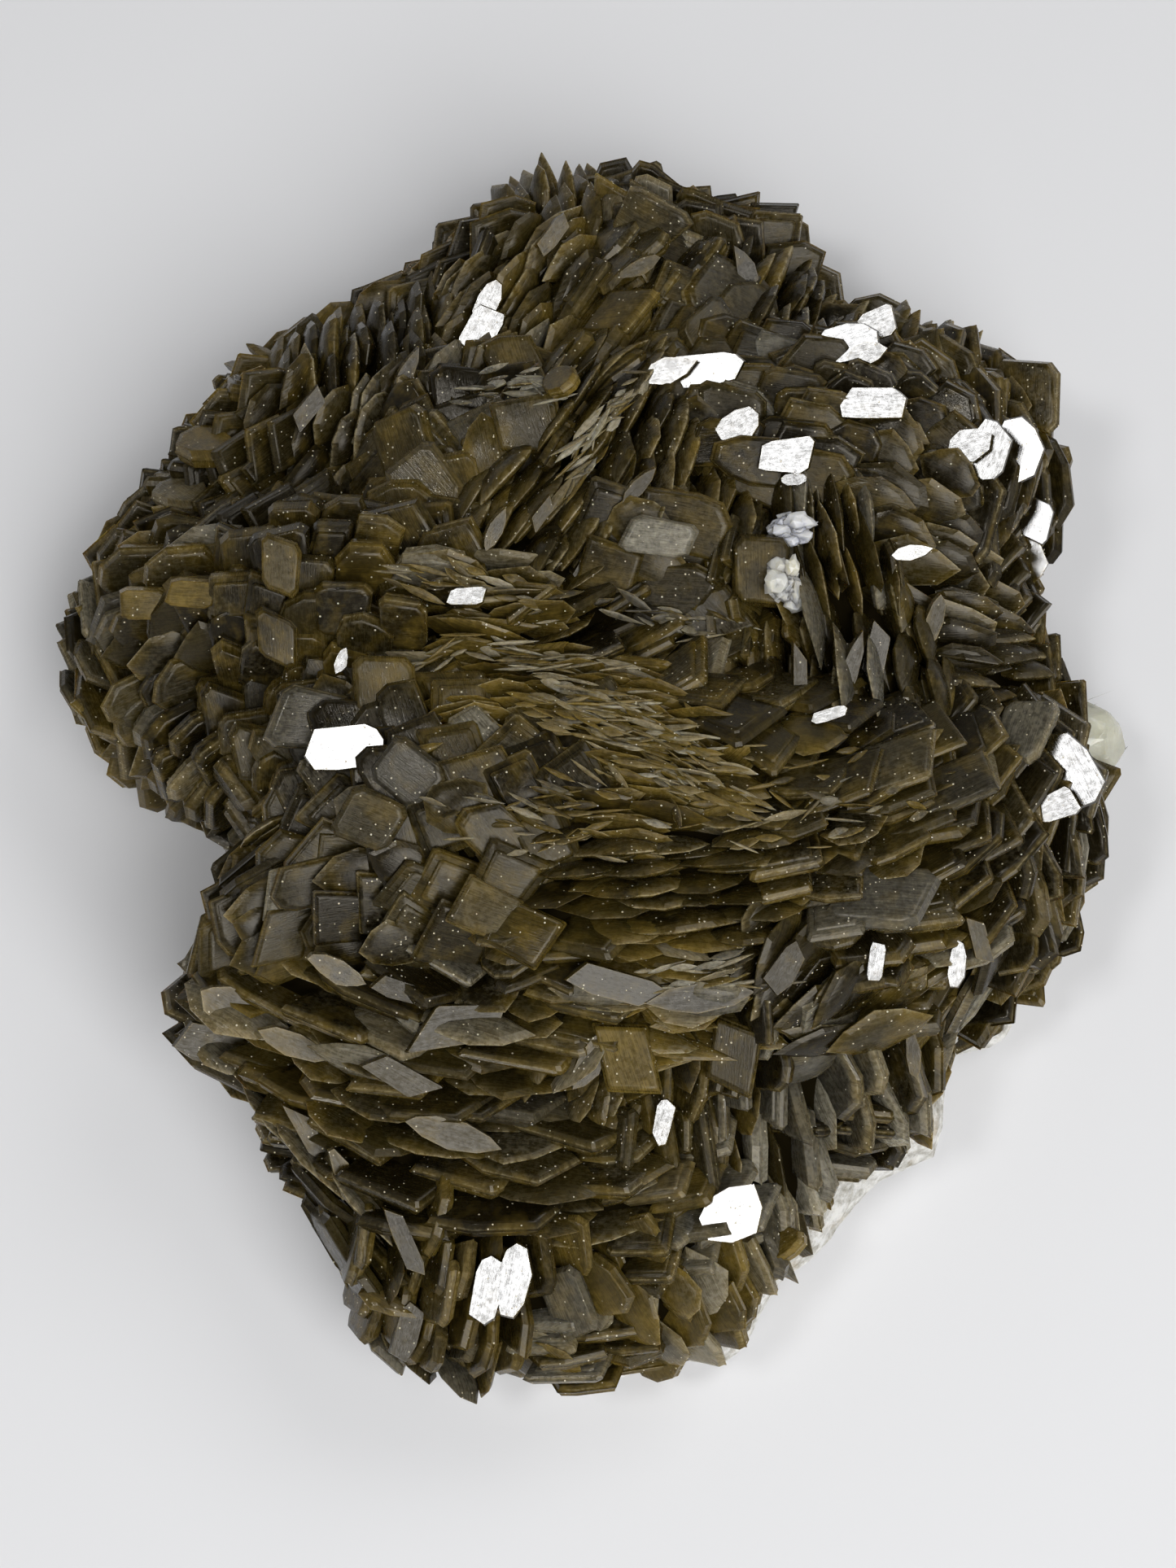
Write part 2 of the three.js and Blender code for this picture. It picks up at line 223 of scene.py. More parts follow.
# Centre x and y, the direction that the upper edges face, how steeply the layers stand, the long way's turn
# from straight up the layer, all in degrees, and the habit.
SHEAVES = [
    # back left ridge
    (-51, 62, 235, 60, 90, "leaf"), (-44, 72, 220, 62, 90, "leaf"), (-31, 57, 0, 68, 85, "leaf"),
    (-26, 78, 10, 66, 80, "leaf"), (-32, 41, 150, 62, 90, "leaf"), (-24, 37, 45, 35, 0, "thick"),
    (-19, 22, 60, 30, 40, "thick"), (-53, 46, 270, 38, 0, "thick"), (-42, 34, 160, 42, 60, "tile"),
    # left lobe
    (-57, 33, 95, 55, 60, "tile"), (-55, 16, 90, 58, 90, "broad"), (-73, 23, 200, 25, 20, "tile"),
    (-57, 9, 120, 48, 90, "broad"), (-58, 1, 120, 52, 90, "broad"), (-71, 6, 215, 66, 90, "broad"),
    (-50, -7, 128, 68, 90, "broad"), (-43, -13, 35, 62, 90, "block"), (-38, -20, 300, 50, 60, "tile"),
    (-73, 16, 190, 40, 30, "tile"),
    # middle shelf
    (-37, 13, 90, 38, 0, "block"), (-33, 8, 85, 35, 0, "block"), (-25, 15, 85, 60, 90, "block"),
    (-15, 15, 82, 74, 90, "blade"), (-13, 8, 84, 70, 90, "fibre"), (-36, 2, 100, 42, 0, "block"),
    (-25, 0, 100, 14, 20, "tile"), (-30, -9, 90, 13, 30, "thick"), (-22, -14, 80, 14, 30, "tile"),
    (-7, 2, 86, 72, 90, "fibre"),
    # centre
    (-12, 21, 330, 62, 90, "leaf"), (-11, 42, 80, 18, 30, "tile"), (-1, 41, 325, 74, 90, "blade"),
    (5, 57, 330, 40, 80, "thick"), (-4, 28, 325, 58, 90, "leaf"), (7, 30, 345, 55, 90, "leaf"),
    (15, 28, 350, 58, 90, "leaf"), (1, 10, 300, 48, 90, "tile"), (9, 18, 80, 22, 90, "tile"),
    (16, 11, 330, 26, 60, "thick"),
    # back lobe
    (-14, 92, 30, 55, 90, "leaf"), (-7, 94, 20, 56, 90, "leaf"), (-8, 57, 145, 68, 90, "leaf"),
    (-1, 86, 5, 62, 85, "leaf"), (8, 92, 90, 42, 30, "tile"), (17, 79, 65, 55, 20, "tile"),
    (17, 54, 150, 26, 20, "thick"), (26, 62, 335, 62, 80, "leaf"), (33, 84, 10, 62, 85, "blade"),
    # right dome
    (40, 71, 60, 22, 90, "broad"), (49, 68, 330, 58, 80, "leaf"), (17, 45, 90, 24, 90, "petal"),
    (30, 38, 80, 44, 90, "petal"), (23, 34, 85, 26, 90, "petal"), (42, 34, 65, 34, 80, "petal"),
    (52, 31, 5, 30, 80, "broad"), (65, 53, 30, 38, 50, "broad"), (66, 40, 15, 46, 70, "broad"),
    (33, 21, 15, 80, 80, "blade"), (30, 6, 188, 66, 80, "leaf"), (37, 4, 186, 62, 80, "leaf"),
    (49, 15, 84, 62, 90, "blade"), (55, 25, 340, 36, 60, "tile"), (53, 9, 265, 48, 80, "leaf"),
    (43, 24, 75, 55, 90, "blade"), (22, 14, 170, 50, 0, "tile"),
    # great front mound
    (24, -10, 280, 26, 60, "tile"), (41, -14, 300, 30, 85, "tile"), (54, -5, 350, 28, 60, "tile"),
    (8, -15, 80, 68, 90, "fibre"), (-1, -25, 275, 56, 85, "blade"), (14, -26, 275, 58, 90, "blade"),
    (36, -28, 270, 20, 30, "thick"), (48, -23, 315, 34, 80, "tile"), (-7, -16, 100, 18, 30, "tile"),
    (31, -22, 290, 32, 85, "tile"), (-32, -19, 100, 30, 60, "tile"), (-40, -26, 125, 38, 70, "tile"),
    (-28, -29, 110, 34, 80, "tile"), (-16, -26, 100, 36, 60, "tile"), (-7, -32, 300, 18, 80, "tile"),
    (-32, -37, 245, 48, 85, "long"), (-43, -41, 250, 22, 80, "long"), (-18, -36, 240, 36, 85, "long"),
    (10, -37, 270, 18, 80, "fibre"), (-1, -36, 270, 26, 80, "tile"), (27, -35, 150, 62, 90, "leaf"),
    (38, -33, 275, 40, 80, "tile"),
    # front tier
    (-14, -42, 270, 26, 80, "long"), (-30, -49, 255, 40, 85, "long"), (-1, -45, 340, 55, 80, "leaf"),
    (6, -46, 20, 52, 75, "tile"), (19, -45, 10, 54, 80, "tile"), (24, -54, 5, 76, 85, "long"),
    (-38, -54, 45, 64, 90, "long"), (-29, -61, 40, 66, 90, "long"), (-15, -53, 260, 42, 85, "long"),
    (-7, -49, 265, 40, 85, "long"), (14, -63, 300, 32, 60, "tile"), (-3, -60, 280, 38, 80, "long"),
    (-22, -72, 350, 60, 85, "shell"), (-12, -74, 0, 62, 88, "shell"), (2, -73, 50, 46, 60, "shell"),
    (14, -73, 50, 44, 60, "shell"), (-3, -80, 70, 46, 50, "shell"), (33, -45, 25, 64, 85, "long"),
    (41, -53, 20, 60, 85, "long"), (29, -39, 100, 68, 90, "blade"), (29, -59, 20, 66, 85, "long"),
    # right front corner
    (56, -19, 20, 66, 85, "long"), (67, -11, 30, 42, 60, "tile"), (51, -30, 150, 60, 85, "long"),
    (54, -37, 325, 56, 90, "long"), (64, -26, 320, 42, 60, "tile"), (69, 1, 30, 36, 40, "tile"),
]
SHEAF_REACH = 26  # how far a sheaf is laid out from its centre, before its neighbours bound it
COLUMN_STEP = 0.8  # the spacing along a row, in crystal lengths
MOST_STRIDE = 0.62  # the widest spacing between rows, in crystal depths
ROW_SLIDE = 0.5  # how far a row slides along itself, and a crystal strays from its row and column, in steps
ROW_STRAY = 0.16
COLUMN_STRAY = 0.12
FLUSH = 0.15  # layers less steep than this, as a sine, lie flush with the surface
LEAST_STEEP = 0.05
LENGTHWAYS = 45  # crystals turned more than this lie lengthways along their rows
LEAST_LEAN = math.radians(15)  # every layer leans out of the surface at least this much
SHARED_EDGE = 1.6  # neighbouring sheaves run this far into each other

# More sheaves stand all round the side, with these lifts over the rim, asides, dips and habits in turn.
SIDE_SHEAVES = 22
SIDE_LIFTS = (-4, 6)
SIDE_ASIDES = (40, -40, 10)
SIDE_DIPS = (30, 52, 40)
SIDE_TURN = 80
SIDE_HABITS = ("leaf", "tile")

BARE_TRIES = 9000  # places tried on the top, to find those that no crystal is near
BARE_TO_EDGE = 0.99  # how far out they are tried, as a share of the body's area
SIDE_TRIES = 3000
SIDE_BAND = (8, 22)  # the heights of the side that are tried too
BARE_GAP = 3.8  # a place this far from every root gets a crystal

BEND_RANGE = 3.0  # within this of a like neighbour a sheaf bends towards it
LIKE_NORMALS = 0.7  # sheaves are alike when their normals and upward ways agree this well, as cosines
LIKE_UPWARDS = 0.2
NORMAL_STRAY = 0.05
TURN_STRAY = 6  # degrees
SIZE_RANGE = ([0.78, 0.78, 0.8], [1.2, 1.2, 1.25])  # the least and most of each size, as shares
CORNER_CUT = 0.94  # a crystal's corners reach this share of its half sizes
STAND_OUT = (4.9, 6.9)  # how far a crystal's tip stands out of the body
STAND_WAVES = 0.9  # how far whole patches stand prouder or lower
WAVE_SCALES = (0.11, 0.31)
LOW_CRYSTALS = 30  # crystals lower than this stay shorter by the bare rock
LOW_FADE = 8
ROCK_BARES = 2.3  # how much shorter they stay
GOLD_STRAY = 0.15
LOWER_PITCH = 0.9  # the layers under a flat-lying crystal are this much closer together
LOWER_LAYERS = (1, 2, 3)
LOWER_GAP = 1.5  # a crystal's middle that stands this far out of the body needs them
LOWER_SHIFT = 1.2
LOWER_SLIP = 0.35
LOWEST = 2.0  # no crystal reaches below this height
OVERHANG = 1.0  # how far a tip may pass the outer edge
MOST_DRAWN_IN = 5.0  # the most that a crystal is moved back for it

# Round places where other minerals show: centre x and y, radius, and the height above which they are clear.
CLEARINGS = [
    (74.0, 7.0, 13.8, 19), (74.5, 1.0, 11.0, 19), (74.0, 6.0, 9.6, 0), (26.6, 21.0, 2.6, 0),
    (25.3, 13.2, 2.8, 0),
]


def dots(first, second):
    """The dot product of each row with the row beside it."""
    return np.einsum("ij,ij->i", first, second)


def kept_clear(middles):
    """Which crystals leave the other minerals in view."""
    clear = np.ones(len(middles), bool)
    for x, y, radius, lowest in CLEARINGS:
        clear &= (np.hypot(middles[:, 0] - x, middles[:, 1] - y) > radius) | (middles[:, 2] < lowest)
    return clear


def sheaf_frame(facing, dip):
    """A layer's way straight up its face, its level way and its normal."""
    upward = way(facing, dip)
    level_way = np.array([-math.sin(math.radians(facing)), math.cos(math.radians(facing)), 0.0])
    return upward, level_way, np.cross(upward, level_way)


def lean_out(uppers, normals, outs):
    """Turns layers that lie flush with the surface, until their upper edges stand out of it."""
    rise = np.arcsin(np.clip(dots(uppers, outs), -1, 1))
    more = np.where(np.abs(rise) < LEAST_LEAN, LEAST_LEAN - rise, 0)[:, None]
    turned_up = uppers * np.cos(more) + normals * np.sin(more)
    turned_normal = normals * np.cos(more) - uppers * np.sin(more)
    return turned_up, turned_normal


def all_sheaves():
    """Each sheaf's centre, its frame, its long way's turn and its habit."""
    sheaves = []
    for x, y, facing, dip, turn, habit in SHEAVES:
        centre = np.array([x, y, float(body_top(x, y))])
        upward, level_way, flat = sheaf_frame(facing, dip)
        lifted, leaning = lean_out(upward[None], flat[None], outward(centre[None]))
        sheaves.append((centre, (lifted[0], level_way, leaning[0]), turn, habit))
    for i in range(SIDE_SHEAVES):
        around = -math.pi + FULL_TURN * (i + 0.5) / SIDE_SHEAVES
        radius = float(body_radius(around))
        height = RIM_HEIGHT + SIDE_LIFTS[i % len(SIDE_LIFTS)]
        centre = np.array([radius * math.cos(around), radius * math.sin(around), height])
        facing = math.degrees(around) + SIDE_ASIDES[i % len(SIDE_ASIDES)]
        sides = sheaf_frame(facing, SIDE_DIPS[i % len(SIDE_DIPS)])
        sheaves.append((centre, sides, SIDE_TURN, SIDE_HABITS[i % len(SIDE_HABITS)]))
    return sheaves


def distances(places, sheaves):
    """How far each place is from each sheaf's centre."""
    centres = np.array([sheaf[0] for sheaf in sheaves])
    return np.linalg.norm(places[:, None, :] - centres[None], axis=2)


def sheaf_places(index, sheaves, chance):
    """Where one sheaf's crystals root on the body: rows of layers, shifted against each other."""
    centre, (_, level_way, flat), turn, habit = sheaves[index]
    long, wide, _, pitch, _, _ = HABITS[habit]
    out = outward(centre[None])[0]
    across = np.cross(flat, out)
    steepness = float(np.linalg.norm(across))
    across = across / steepness if steepness > FLUSH else level_way
    along = np.cross(out, across)
    deep, spread = (wide, long) if turn > LENGTHWAYS else (long, wide)
    stride = min(pitch / max(steepness, LEAST_STEEP), deep * MOST_STRIDE)
    rows = int(SHEAF_REACH / stride)
    columns = int(SHEAF_REACH / (spread * COLUMN_STEP)) + 1
    row, column = np.meshgrid(np.arange(-rows, rows + 1), np.arange(-columns, columns + 1), indexing="ij")
    row, column = row.ravel(), column.ravel().astype(float)
    slides = chance.uniform(-ROW_SLIDE, ROW_SLIDE, 2 * rows + 1)
    column += slides[row + rows] + chance.uniform(-COLUMN_STRAY, COLUMN_STRAY, row.size)
    row = row + chance.uniform(-ROW_STRAY, ROW_STRAY, row.size)
    starts = centre + row[:, None] * stride * along + column[:, None] * spread * COLUMN_STEP * across
    places, hit = drop_to_body(starts, out, SHEAF_REACH)
    distance = distances(places, sheaves)
    return places[hit & (distance[:, index] < distance.min(axis=1) + SHARED_EDGE)]


def bare_places(places, chance):
    """Places on the body that no crystal is near yet, spread evenly."""
    turns = chance.uniform(-math.pi, math.pi, BARE_TRIES)
    share = np.sqrt(chance.uniform(0, BARE_TO_EDGE, BARE_TRIES))
    x = share * body_radius(turns) * np.cos(turns)
    y = share * body_radius(turns) * np.sin(turns)
    on_top = np.stack([x, y, body_top(x, y)], axis=1)
    heights = chance.uniform(*SIDE_BAND, SIDE_TRIES)
    turns = turns[:SIDE_TRIES]
    x, y = body_radius(turns) * np.cos(turns), body_radius(turns) * np.sin(turns)
    rise = (heights - RIM_HEIGHT) / half_height(x, y, heights > RIM_HEIGHT)
    share = (1 - rise ** 2) ** (1 / SHOULDER)
    on_side = np.stack([share * x, share * y, heights], axis=1)
    known = places
    for place in np.concatenate([on_top, on_side]):
        if np.sum((known - place) ** 2, axis=1).min() > BARE_GAP ** 2:
            known = np.vstack([known, place])
    return known[len(places):]


def draw_in(middles, axes, sizes):
    """Moves crystals whose tips would pass the outer edge back over it."""
    for side in (1, -1):
        tips = middles + side * axes[:, 0] * sizes[:, :1]
        far = np.hypot(tips[:, 0], tips[:, 1])
        past = far - edge_radius(np.arctan2(tips[:, 1], tips[:, 0])) - OVERHANG
        middles = middles - (np.clip(past, 0, MOST_DRAWN_IN) / far)[:, None] * tips * [1, 1, 0]
    return middles


def crystal_axes(places, owners, sheaves, outs, chance):
    """Each crystal's long way, wide way and normal: its sheaf's, bent towards like neighbours close by."""
    flats = np.array([sheaf[1][2] for sheaf in sheaves])
    uppers = np.array([sheaf[1][0] for sheaf in sheaves])
    turns = np.array([sheaves[owner][2] for owner in owners])
    distance = distances(places, sheaves)
    own = distance[np.arange(len(places)), owners]
    alike = (flats[owners] @ flats.T > LIKE_NORMALS) & (uppers[owners] @ uppers.T > LIKE_UPWARDS)
    weight = np.minimum(np.exp(-(distance - own[:, None]) / BEND_RANGE), 1.0) * alike
    normal = weight @ flats + chance.normal(0, NORMAL_STRAY, places.shape)
    normal /= np.linalg.norm(normal, axis=1, keepdims=True)
    climb = uppers[owners] - dots(normal, uppers[owners])[:, None] * normal
    climb /= np.linalg.norm(climb, axis=1, keepdims=True)
    climb, normal = lean_out(climb, normal, outs)
    angle = np.radians(turns + chance.normal(0, TURN_STRAY, len(places)))[:, None]
    long_way = climb * np.cos(angle) + np.cross(normal, climb) * np.sin(angle)
    return np.stack([long_way, np.cross(normal, long_way), normal], axis=1)


def dress(places, owners, sheaves, chance):
    """The crystals that root at some places: their middles, axes, half sizes, goldenness and outlines."""
    habits = [HABITS[sheaves[owner][3]] for owner in owners]
    outs = outward(places)
    axes = crystal_axes(places, owners, sheaves, outs, chance)
    long_way, wide_way, normal = axes[:, 0], axes[:, 1], axes[:, 2]
    sizes = np.array([habit[:3] for habit in habits]) / 2
    sizes = sizes * chance.uniform(*SIZE_RANGE, sizes.shape)
    tilted = np.hypot(sizes[:, 0] * dots(long_way, outs), sizes[:, 1] * dots(wide_way, outs))
    reach = tilted * CORNER_CUT + sizes[:, 2] * np.abs(dots(normal, outs))
    waves = np.array([sum(noise.noise(Vector(place) * scale) for scale in WAVE_SCALES) for place in places])
    tip = chance.uniform(*STAND_OUT, len(places)) + STAND_WAVES * waves
    low = np.clip((LOW_CRYSTALS - places[:, 2]) / LOW_FADE, 0, 1)
    tip -= ROCK_BARES * low * rock_reach(np.arctan2(places[:, 1], places[:, 0]))
    middles = places + (tip - reach)[:, None] * outs
    golds = np.array([habit[4] for habit in habits]) + chance.normal(0, GOLD_STRAY, len(places))
    golds = np.clip(golds, 0, 1)
    kinds = np.array([OUTLINE_NAMES.index(habit[5][chance.integers(len(habit[5]))]) for habit in habits])
    grown = [(middles, axes, sizes, golds, kinds)]
    # flat-lying crystals get more layers under them, so that none hangs over a gap
    pitches = np.array([habit[3] for habit in habits]) * LOWER_PITCH
    for deeper in LOWER_LAYERS:
        sink = deeper * pitches
        keep = (tip - reach > LOWER_GAP) & (tip - reach - sink > -LOWER_GAP)
        shift = chance.normal(0, LOWER_SHIFT, middles.shape) * [1, 1, 0]
        lower = middles - sink[:, None] * outs + shift
        slip = chance.normal(0, LOWER_SLIP, len(places))[:, None]
        turned_long = long_way * np.cos(slip) + wide_way * np.sin(slip)
        turned = np.stack([turned_long, np.cross(normal, turned_long), normal], axis=1)
        grown.append((lower[keep], turned[keep], sizes[keep], golds[keep], np.roll(kinds, deeper)[keep]))
    return [np.concatenate(values) for values in zip(*grown)]


def grow_crystals():
    """All the crystals that grow by rule over the body."""
    chance = chance_for("growing")
    sheaves = all_sheaves()
    seeded = [sheaf_places(i, sheaves, chance) for i in range(len(sheaves))]
    owners = np.concatenate([np.full(len(places), i) for i, places in enumerate(seeded)])
    places = np.concatenate(seeded)
    bare = bare_places(places, chance)
    owners = np.concatenate([owners, distances(bare, sheaves).argmin(axis=1)])
    middles, axes, sizes, golds, kinds = dress(np.concatenate([places, bare]), owners, sheaves, chance)
    middles = draw_in(middles, axes, sizes)
    droop = np.abs(axes[:, 0, 2]) * sizes[:, 0] + np.abs(axes[:, 1, 2]) * sizes[:, 1]
    clear = (middles[:, 2] - droop > LOWEST) & kept_clear(middles)
    return [values[clear] for values in (middles, axes, sizes, golds, kinds)]


# ---- Crystal shapes -------------------------------------------------------------------------------------

# Outlines that reach one unit either way from the middle, and how far their corners are cut.
OUTLINES = {
    "leaf": ([(1, 0.02), (0.66, 0.5), (0.1, 0.86), (-0.5, 0.8), (-0.88, 0.4), (-1, -0.08), (-0.55, -0.62),
              (0.02, -0.9), (0.55, -0.62)], 0.0),
    "leaf_bent": ([(1, 0.3), (0.5, 0.74), (-0.1, 0.95), (-0.7, 0.7), (-1, 0.0), (-0.72, -0.55), (-0.1, -0.85),
                   (0.6, -0.4)], 0.0),
    "spindle": ([(1, 0.0), (0.5, 0.6), (-0.1, 0.86), (-0.7, 0.5), (-1, 0.05), (-0.5, -0.66), (0.12, -0.85),
                 (0.65, -0.45)], 0.0),
    "rhomb": ([(0.97, 0.72), (-0.5, 0.95), (-0.97, -0.72), (0.5, -0.95)], 0.05),
    "rhomb_cut": ([(1, 0.42), (0.66, 0.86), (-0.66, 0.95), (-1, -0.5), (-0.4, -0.92), (0.6, -0.88)], 0.0),
    "rhomb_stepped": ([(0.95, 0.75), (-0.6, 0.95), (-0.95, -0.75), (0.6, -0.95)], 0.1),
    "rhomb_worn": ([(0.9, 0.85), (-0.75, 0.9), (-0.95, -0.75), (0.75, -0.95)], 0.24),
    "slab": ([(1, 0.2), (0.86, 0.66), (0.5, 0.84), (-0.82, 0.7), (-1, -0.25), (-0.8, -0.74), (-0.3, -0.86),
              (0.8, -0.72)], 0.0),
    "shield": ([(1, 0.12), (0.74, 0.66), (0.2, 0.9), (-0.5, 0.86), (-0.92, 0.42), (-0.94, -0.3),
                (-0.55, -0.86), (0.3, -0.92), (0.86, -0.46)], 0.0),
}
OUTLINE_NAMES = list(OUTLINES)
LENSES = ("leaf", "leaf_bent", "spindle")
STEPPED = ("rhomb_stepped",)  # these have a step on their upper face
RIM_HALF = {"rhomb": 0.3, "rhomb_cut": 0.22, "slab": 0.35, "shield": 0.3}  # the rim's share of the thickness
RIM_LENS = 0.07
RIM_USUAL = 0.5
# Rings between the rim and the middle of a face: how far out, how high, how much like the rim.
LENS_RINGS = ((0.84, 0.5, 0.5), (0.56, 0.86, 0.12))
PLATE_RINGS = ((0.95, 1.0, 0.25), (0.8, 1.0, 0.0))
STEP_RINGS = ((0.94, 0.85, 0.3), (0.78, 0.85, 0.0), (0.75, 1.15, 0.3), (0.6, 1.15, 0.0))
WAIST_OUT = 1.05  # the middle of a plate's edge stands out this much
WAIST_RIMNESS = 0.15
WALL_LENS = 0.45  # faces that lie flatter than this are shaded smooth, and the rest keep their edges
WALL_PLATE = 0.93

# How each crystal differs from its outline's shape.
SWELL_LOBES = (1, 2, 3)
SWELL = 0.05
SWELL_TURN = 6.3  # a little over a full turn
SKEW = 0.24
BOW_RANGE = (-0.005, 0.022)  # bends along, across and askew, per millimetre
FOLD_RANGE = (-0.01, 0.018)
TWIST = 0.006


def crystal_shape(name):
    """A flat crystal one unit across each half: a thin rim, and faces that rise from it to the middle."""
    corners, rounding = OUTLINES[name]
    lens = name in LENSES
    rim_half = RIM_LENS if lens else RIM_HALF.get(name, RIM_USUAL)
    bm = bmesh.new()
    rim = bm.verts.layers.float.new("rim")
    outline = [bm.verts.new((x, y, -rim_half)) for x, y in corners]
    bm.faces.new(outline)
    if rounding:
        bmesh.ops.bevel(bm, geom=outline, offset=rounding, affect="VERTICES", segments=1, profile=0.5,
                        material=-1)
    for vert in bm.verts:
        vert[rim] = 1
    over = bm.faces[:][0]
    for climb in (2 * rim_half,) if lens else (rim_half, rim_half):
        waist = over
        raised = bmesh.ops.extrude_face_region(bm, geom=[over])["geom"]
        over = next(item for item in raised if isinstance(item, bmesh.types.BMFace))
        bmesh.ops.translate(bm, vec=(0, 0, climb), verts=over.verts)
    if not lens:
        bmesh.ops.delete(bm, geom=[waist], context="FACES_ONLY")
    for vert in bm.verts:
        if abs(vert.co.z) < TINY:
            vert.co.xy *= WAIST_OUT
            vert[rim] = WAIST_RIMNESS
    under = next(face for face in bm.faces if all(vert.co.z < 0 for vert in face.verts))
    rings = LENS_RINGS if lens else PLATE_RINGS
    for face, side, own in ((over, 1, STEP_RINGS if name in STEPPED else rings), (under, -1, rings)):
        reached = 1.0
        for share, height, rimness in own:
            bmesh.ops.inset_region(bm, faces=[face], thickness=TINY)
            bmesh.ops.scale(bm, vec=(share / reached, share / reached, 1), verts=face.verts)
            reached = share
            for vert in face.verts:
                vert.co.z = side * height
                vert[rim] = rimness
        for vert in bmesh.ops.poke(bm, faces=[face])["verts"]:
            vert.co.z = side * max(1.0, own[-1][1])
    bmesh.ops.recalc_face_normals(bm, faces=bm.faces)
    bm.normal_update()
    bm.verts.index_update()
    points = np.array([vert.co for vert in bm.verts])
    rims = np.array([vert[rim] for vert in bm.verts])
    faces = [[vert.index for vert in face.verts] for face in bm.faces]
    smooth = [abs(face.normal.z) >= (WALL_LENS if lens else WALL_PLATE) for face in bm.faces]
    bm.free()
    return points, faces, rims, smooth


def own_form(points, size, chance, bent, straight_walls):
    """One crystal's points: its outline swells and leans a little, and its faces bow, as far as bent says."""
    local = points * size
    around = np.arctan2(points[:, 1], points[:, 0])
    swell = 1.0
    for lobes in SWELL_LOBES:
        swell = swell + chance.normal(0, SWELL) * np.cos(lobes * around - chance.uniform(0, SWELL_TURN))
    local[:, :2] *= swell[:, None]
    local[:, 0] += chance.uniform(-SKEW, SKEW) * local[:, 1]
    bow, fold, twist = chance.uniform(*BOW_RANGE), chance.uniform(*FOLD_RANGE), chance.normal(0, TWIST)
    bend = bow * local[:, 0] ** 2 + fold * local[:, 1] ** 2 + twist * local[:, 0] * local[:, 1]
    if straight_walls:
        local[:, 2] = np.sign(points[:, 2]) * size[2]
    local[:, 2] -= bent * bend
    return local


def join_crystals(name, shapes, crystals, bent=1.0, straight_walls=False):
    """Copies of the shapes, placed and joined in one mesh that keeps each crystal's own place and tone."""
    chance = chance_for(name)
    middles, axes, sizes, golds, kinds, frosts = crystals
    placed, corners, smooths = [], [], []
    kept = {"seat": [], "tone": [], "rim": [], "frost": []}
    offset = 0
    for kind, (points, faces, rim, smooth) in enumerate(shapes):
        count = len(points)
        for i in np.flatnonzero(kinds == kind):
            local = own_form(points, sizes[i], chance, bent, straight_walls)
            placed.append(local @ axes[i] + middles[i])
            corners.extend([[offset + corner for corner in face] for face in faces])
            smooths.extend(smooth)
            kept["seat"].append(points * sizes[i] / sizes[i].max())
            kept["tone"].append(np.tile([chance.uniform(), golds[i], chance.uniform()], (count, 1)))
            kept["rim"].append(rim)
            kept["frost"].append(np.full(count, frosts[i]))
            offset += count
    mesh = bpy.data.meshes.new(name)
    mesh.from_pydata((np.concatenate(placed) * MM).tolist(), [], corners)
    for title, values in kept.items():
        values = np.concatenate(values).astype(np.float32)
        kind, key = ("FLOAT_VECTOR", "vector") if values.ndim == 2 else ("FLOAT", "value")
        mesh.attributes.new(title, kind, "POINT").data.foreach_set(key, values.ravel())
    mesh.polygons.foreach_set("use_smooth", smooths)
    return link(name, mesh)


# ---- Materials ------------------------------------------------------------------------------------------

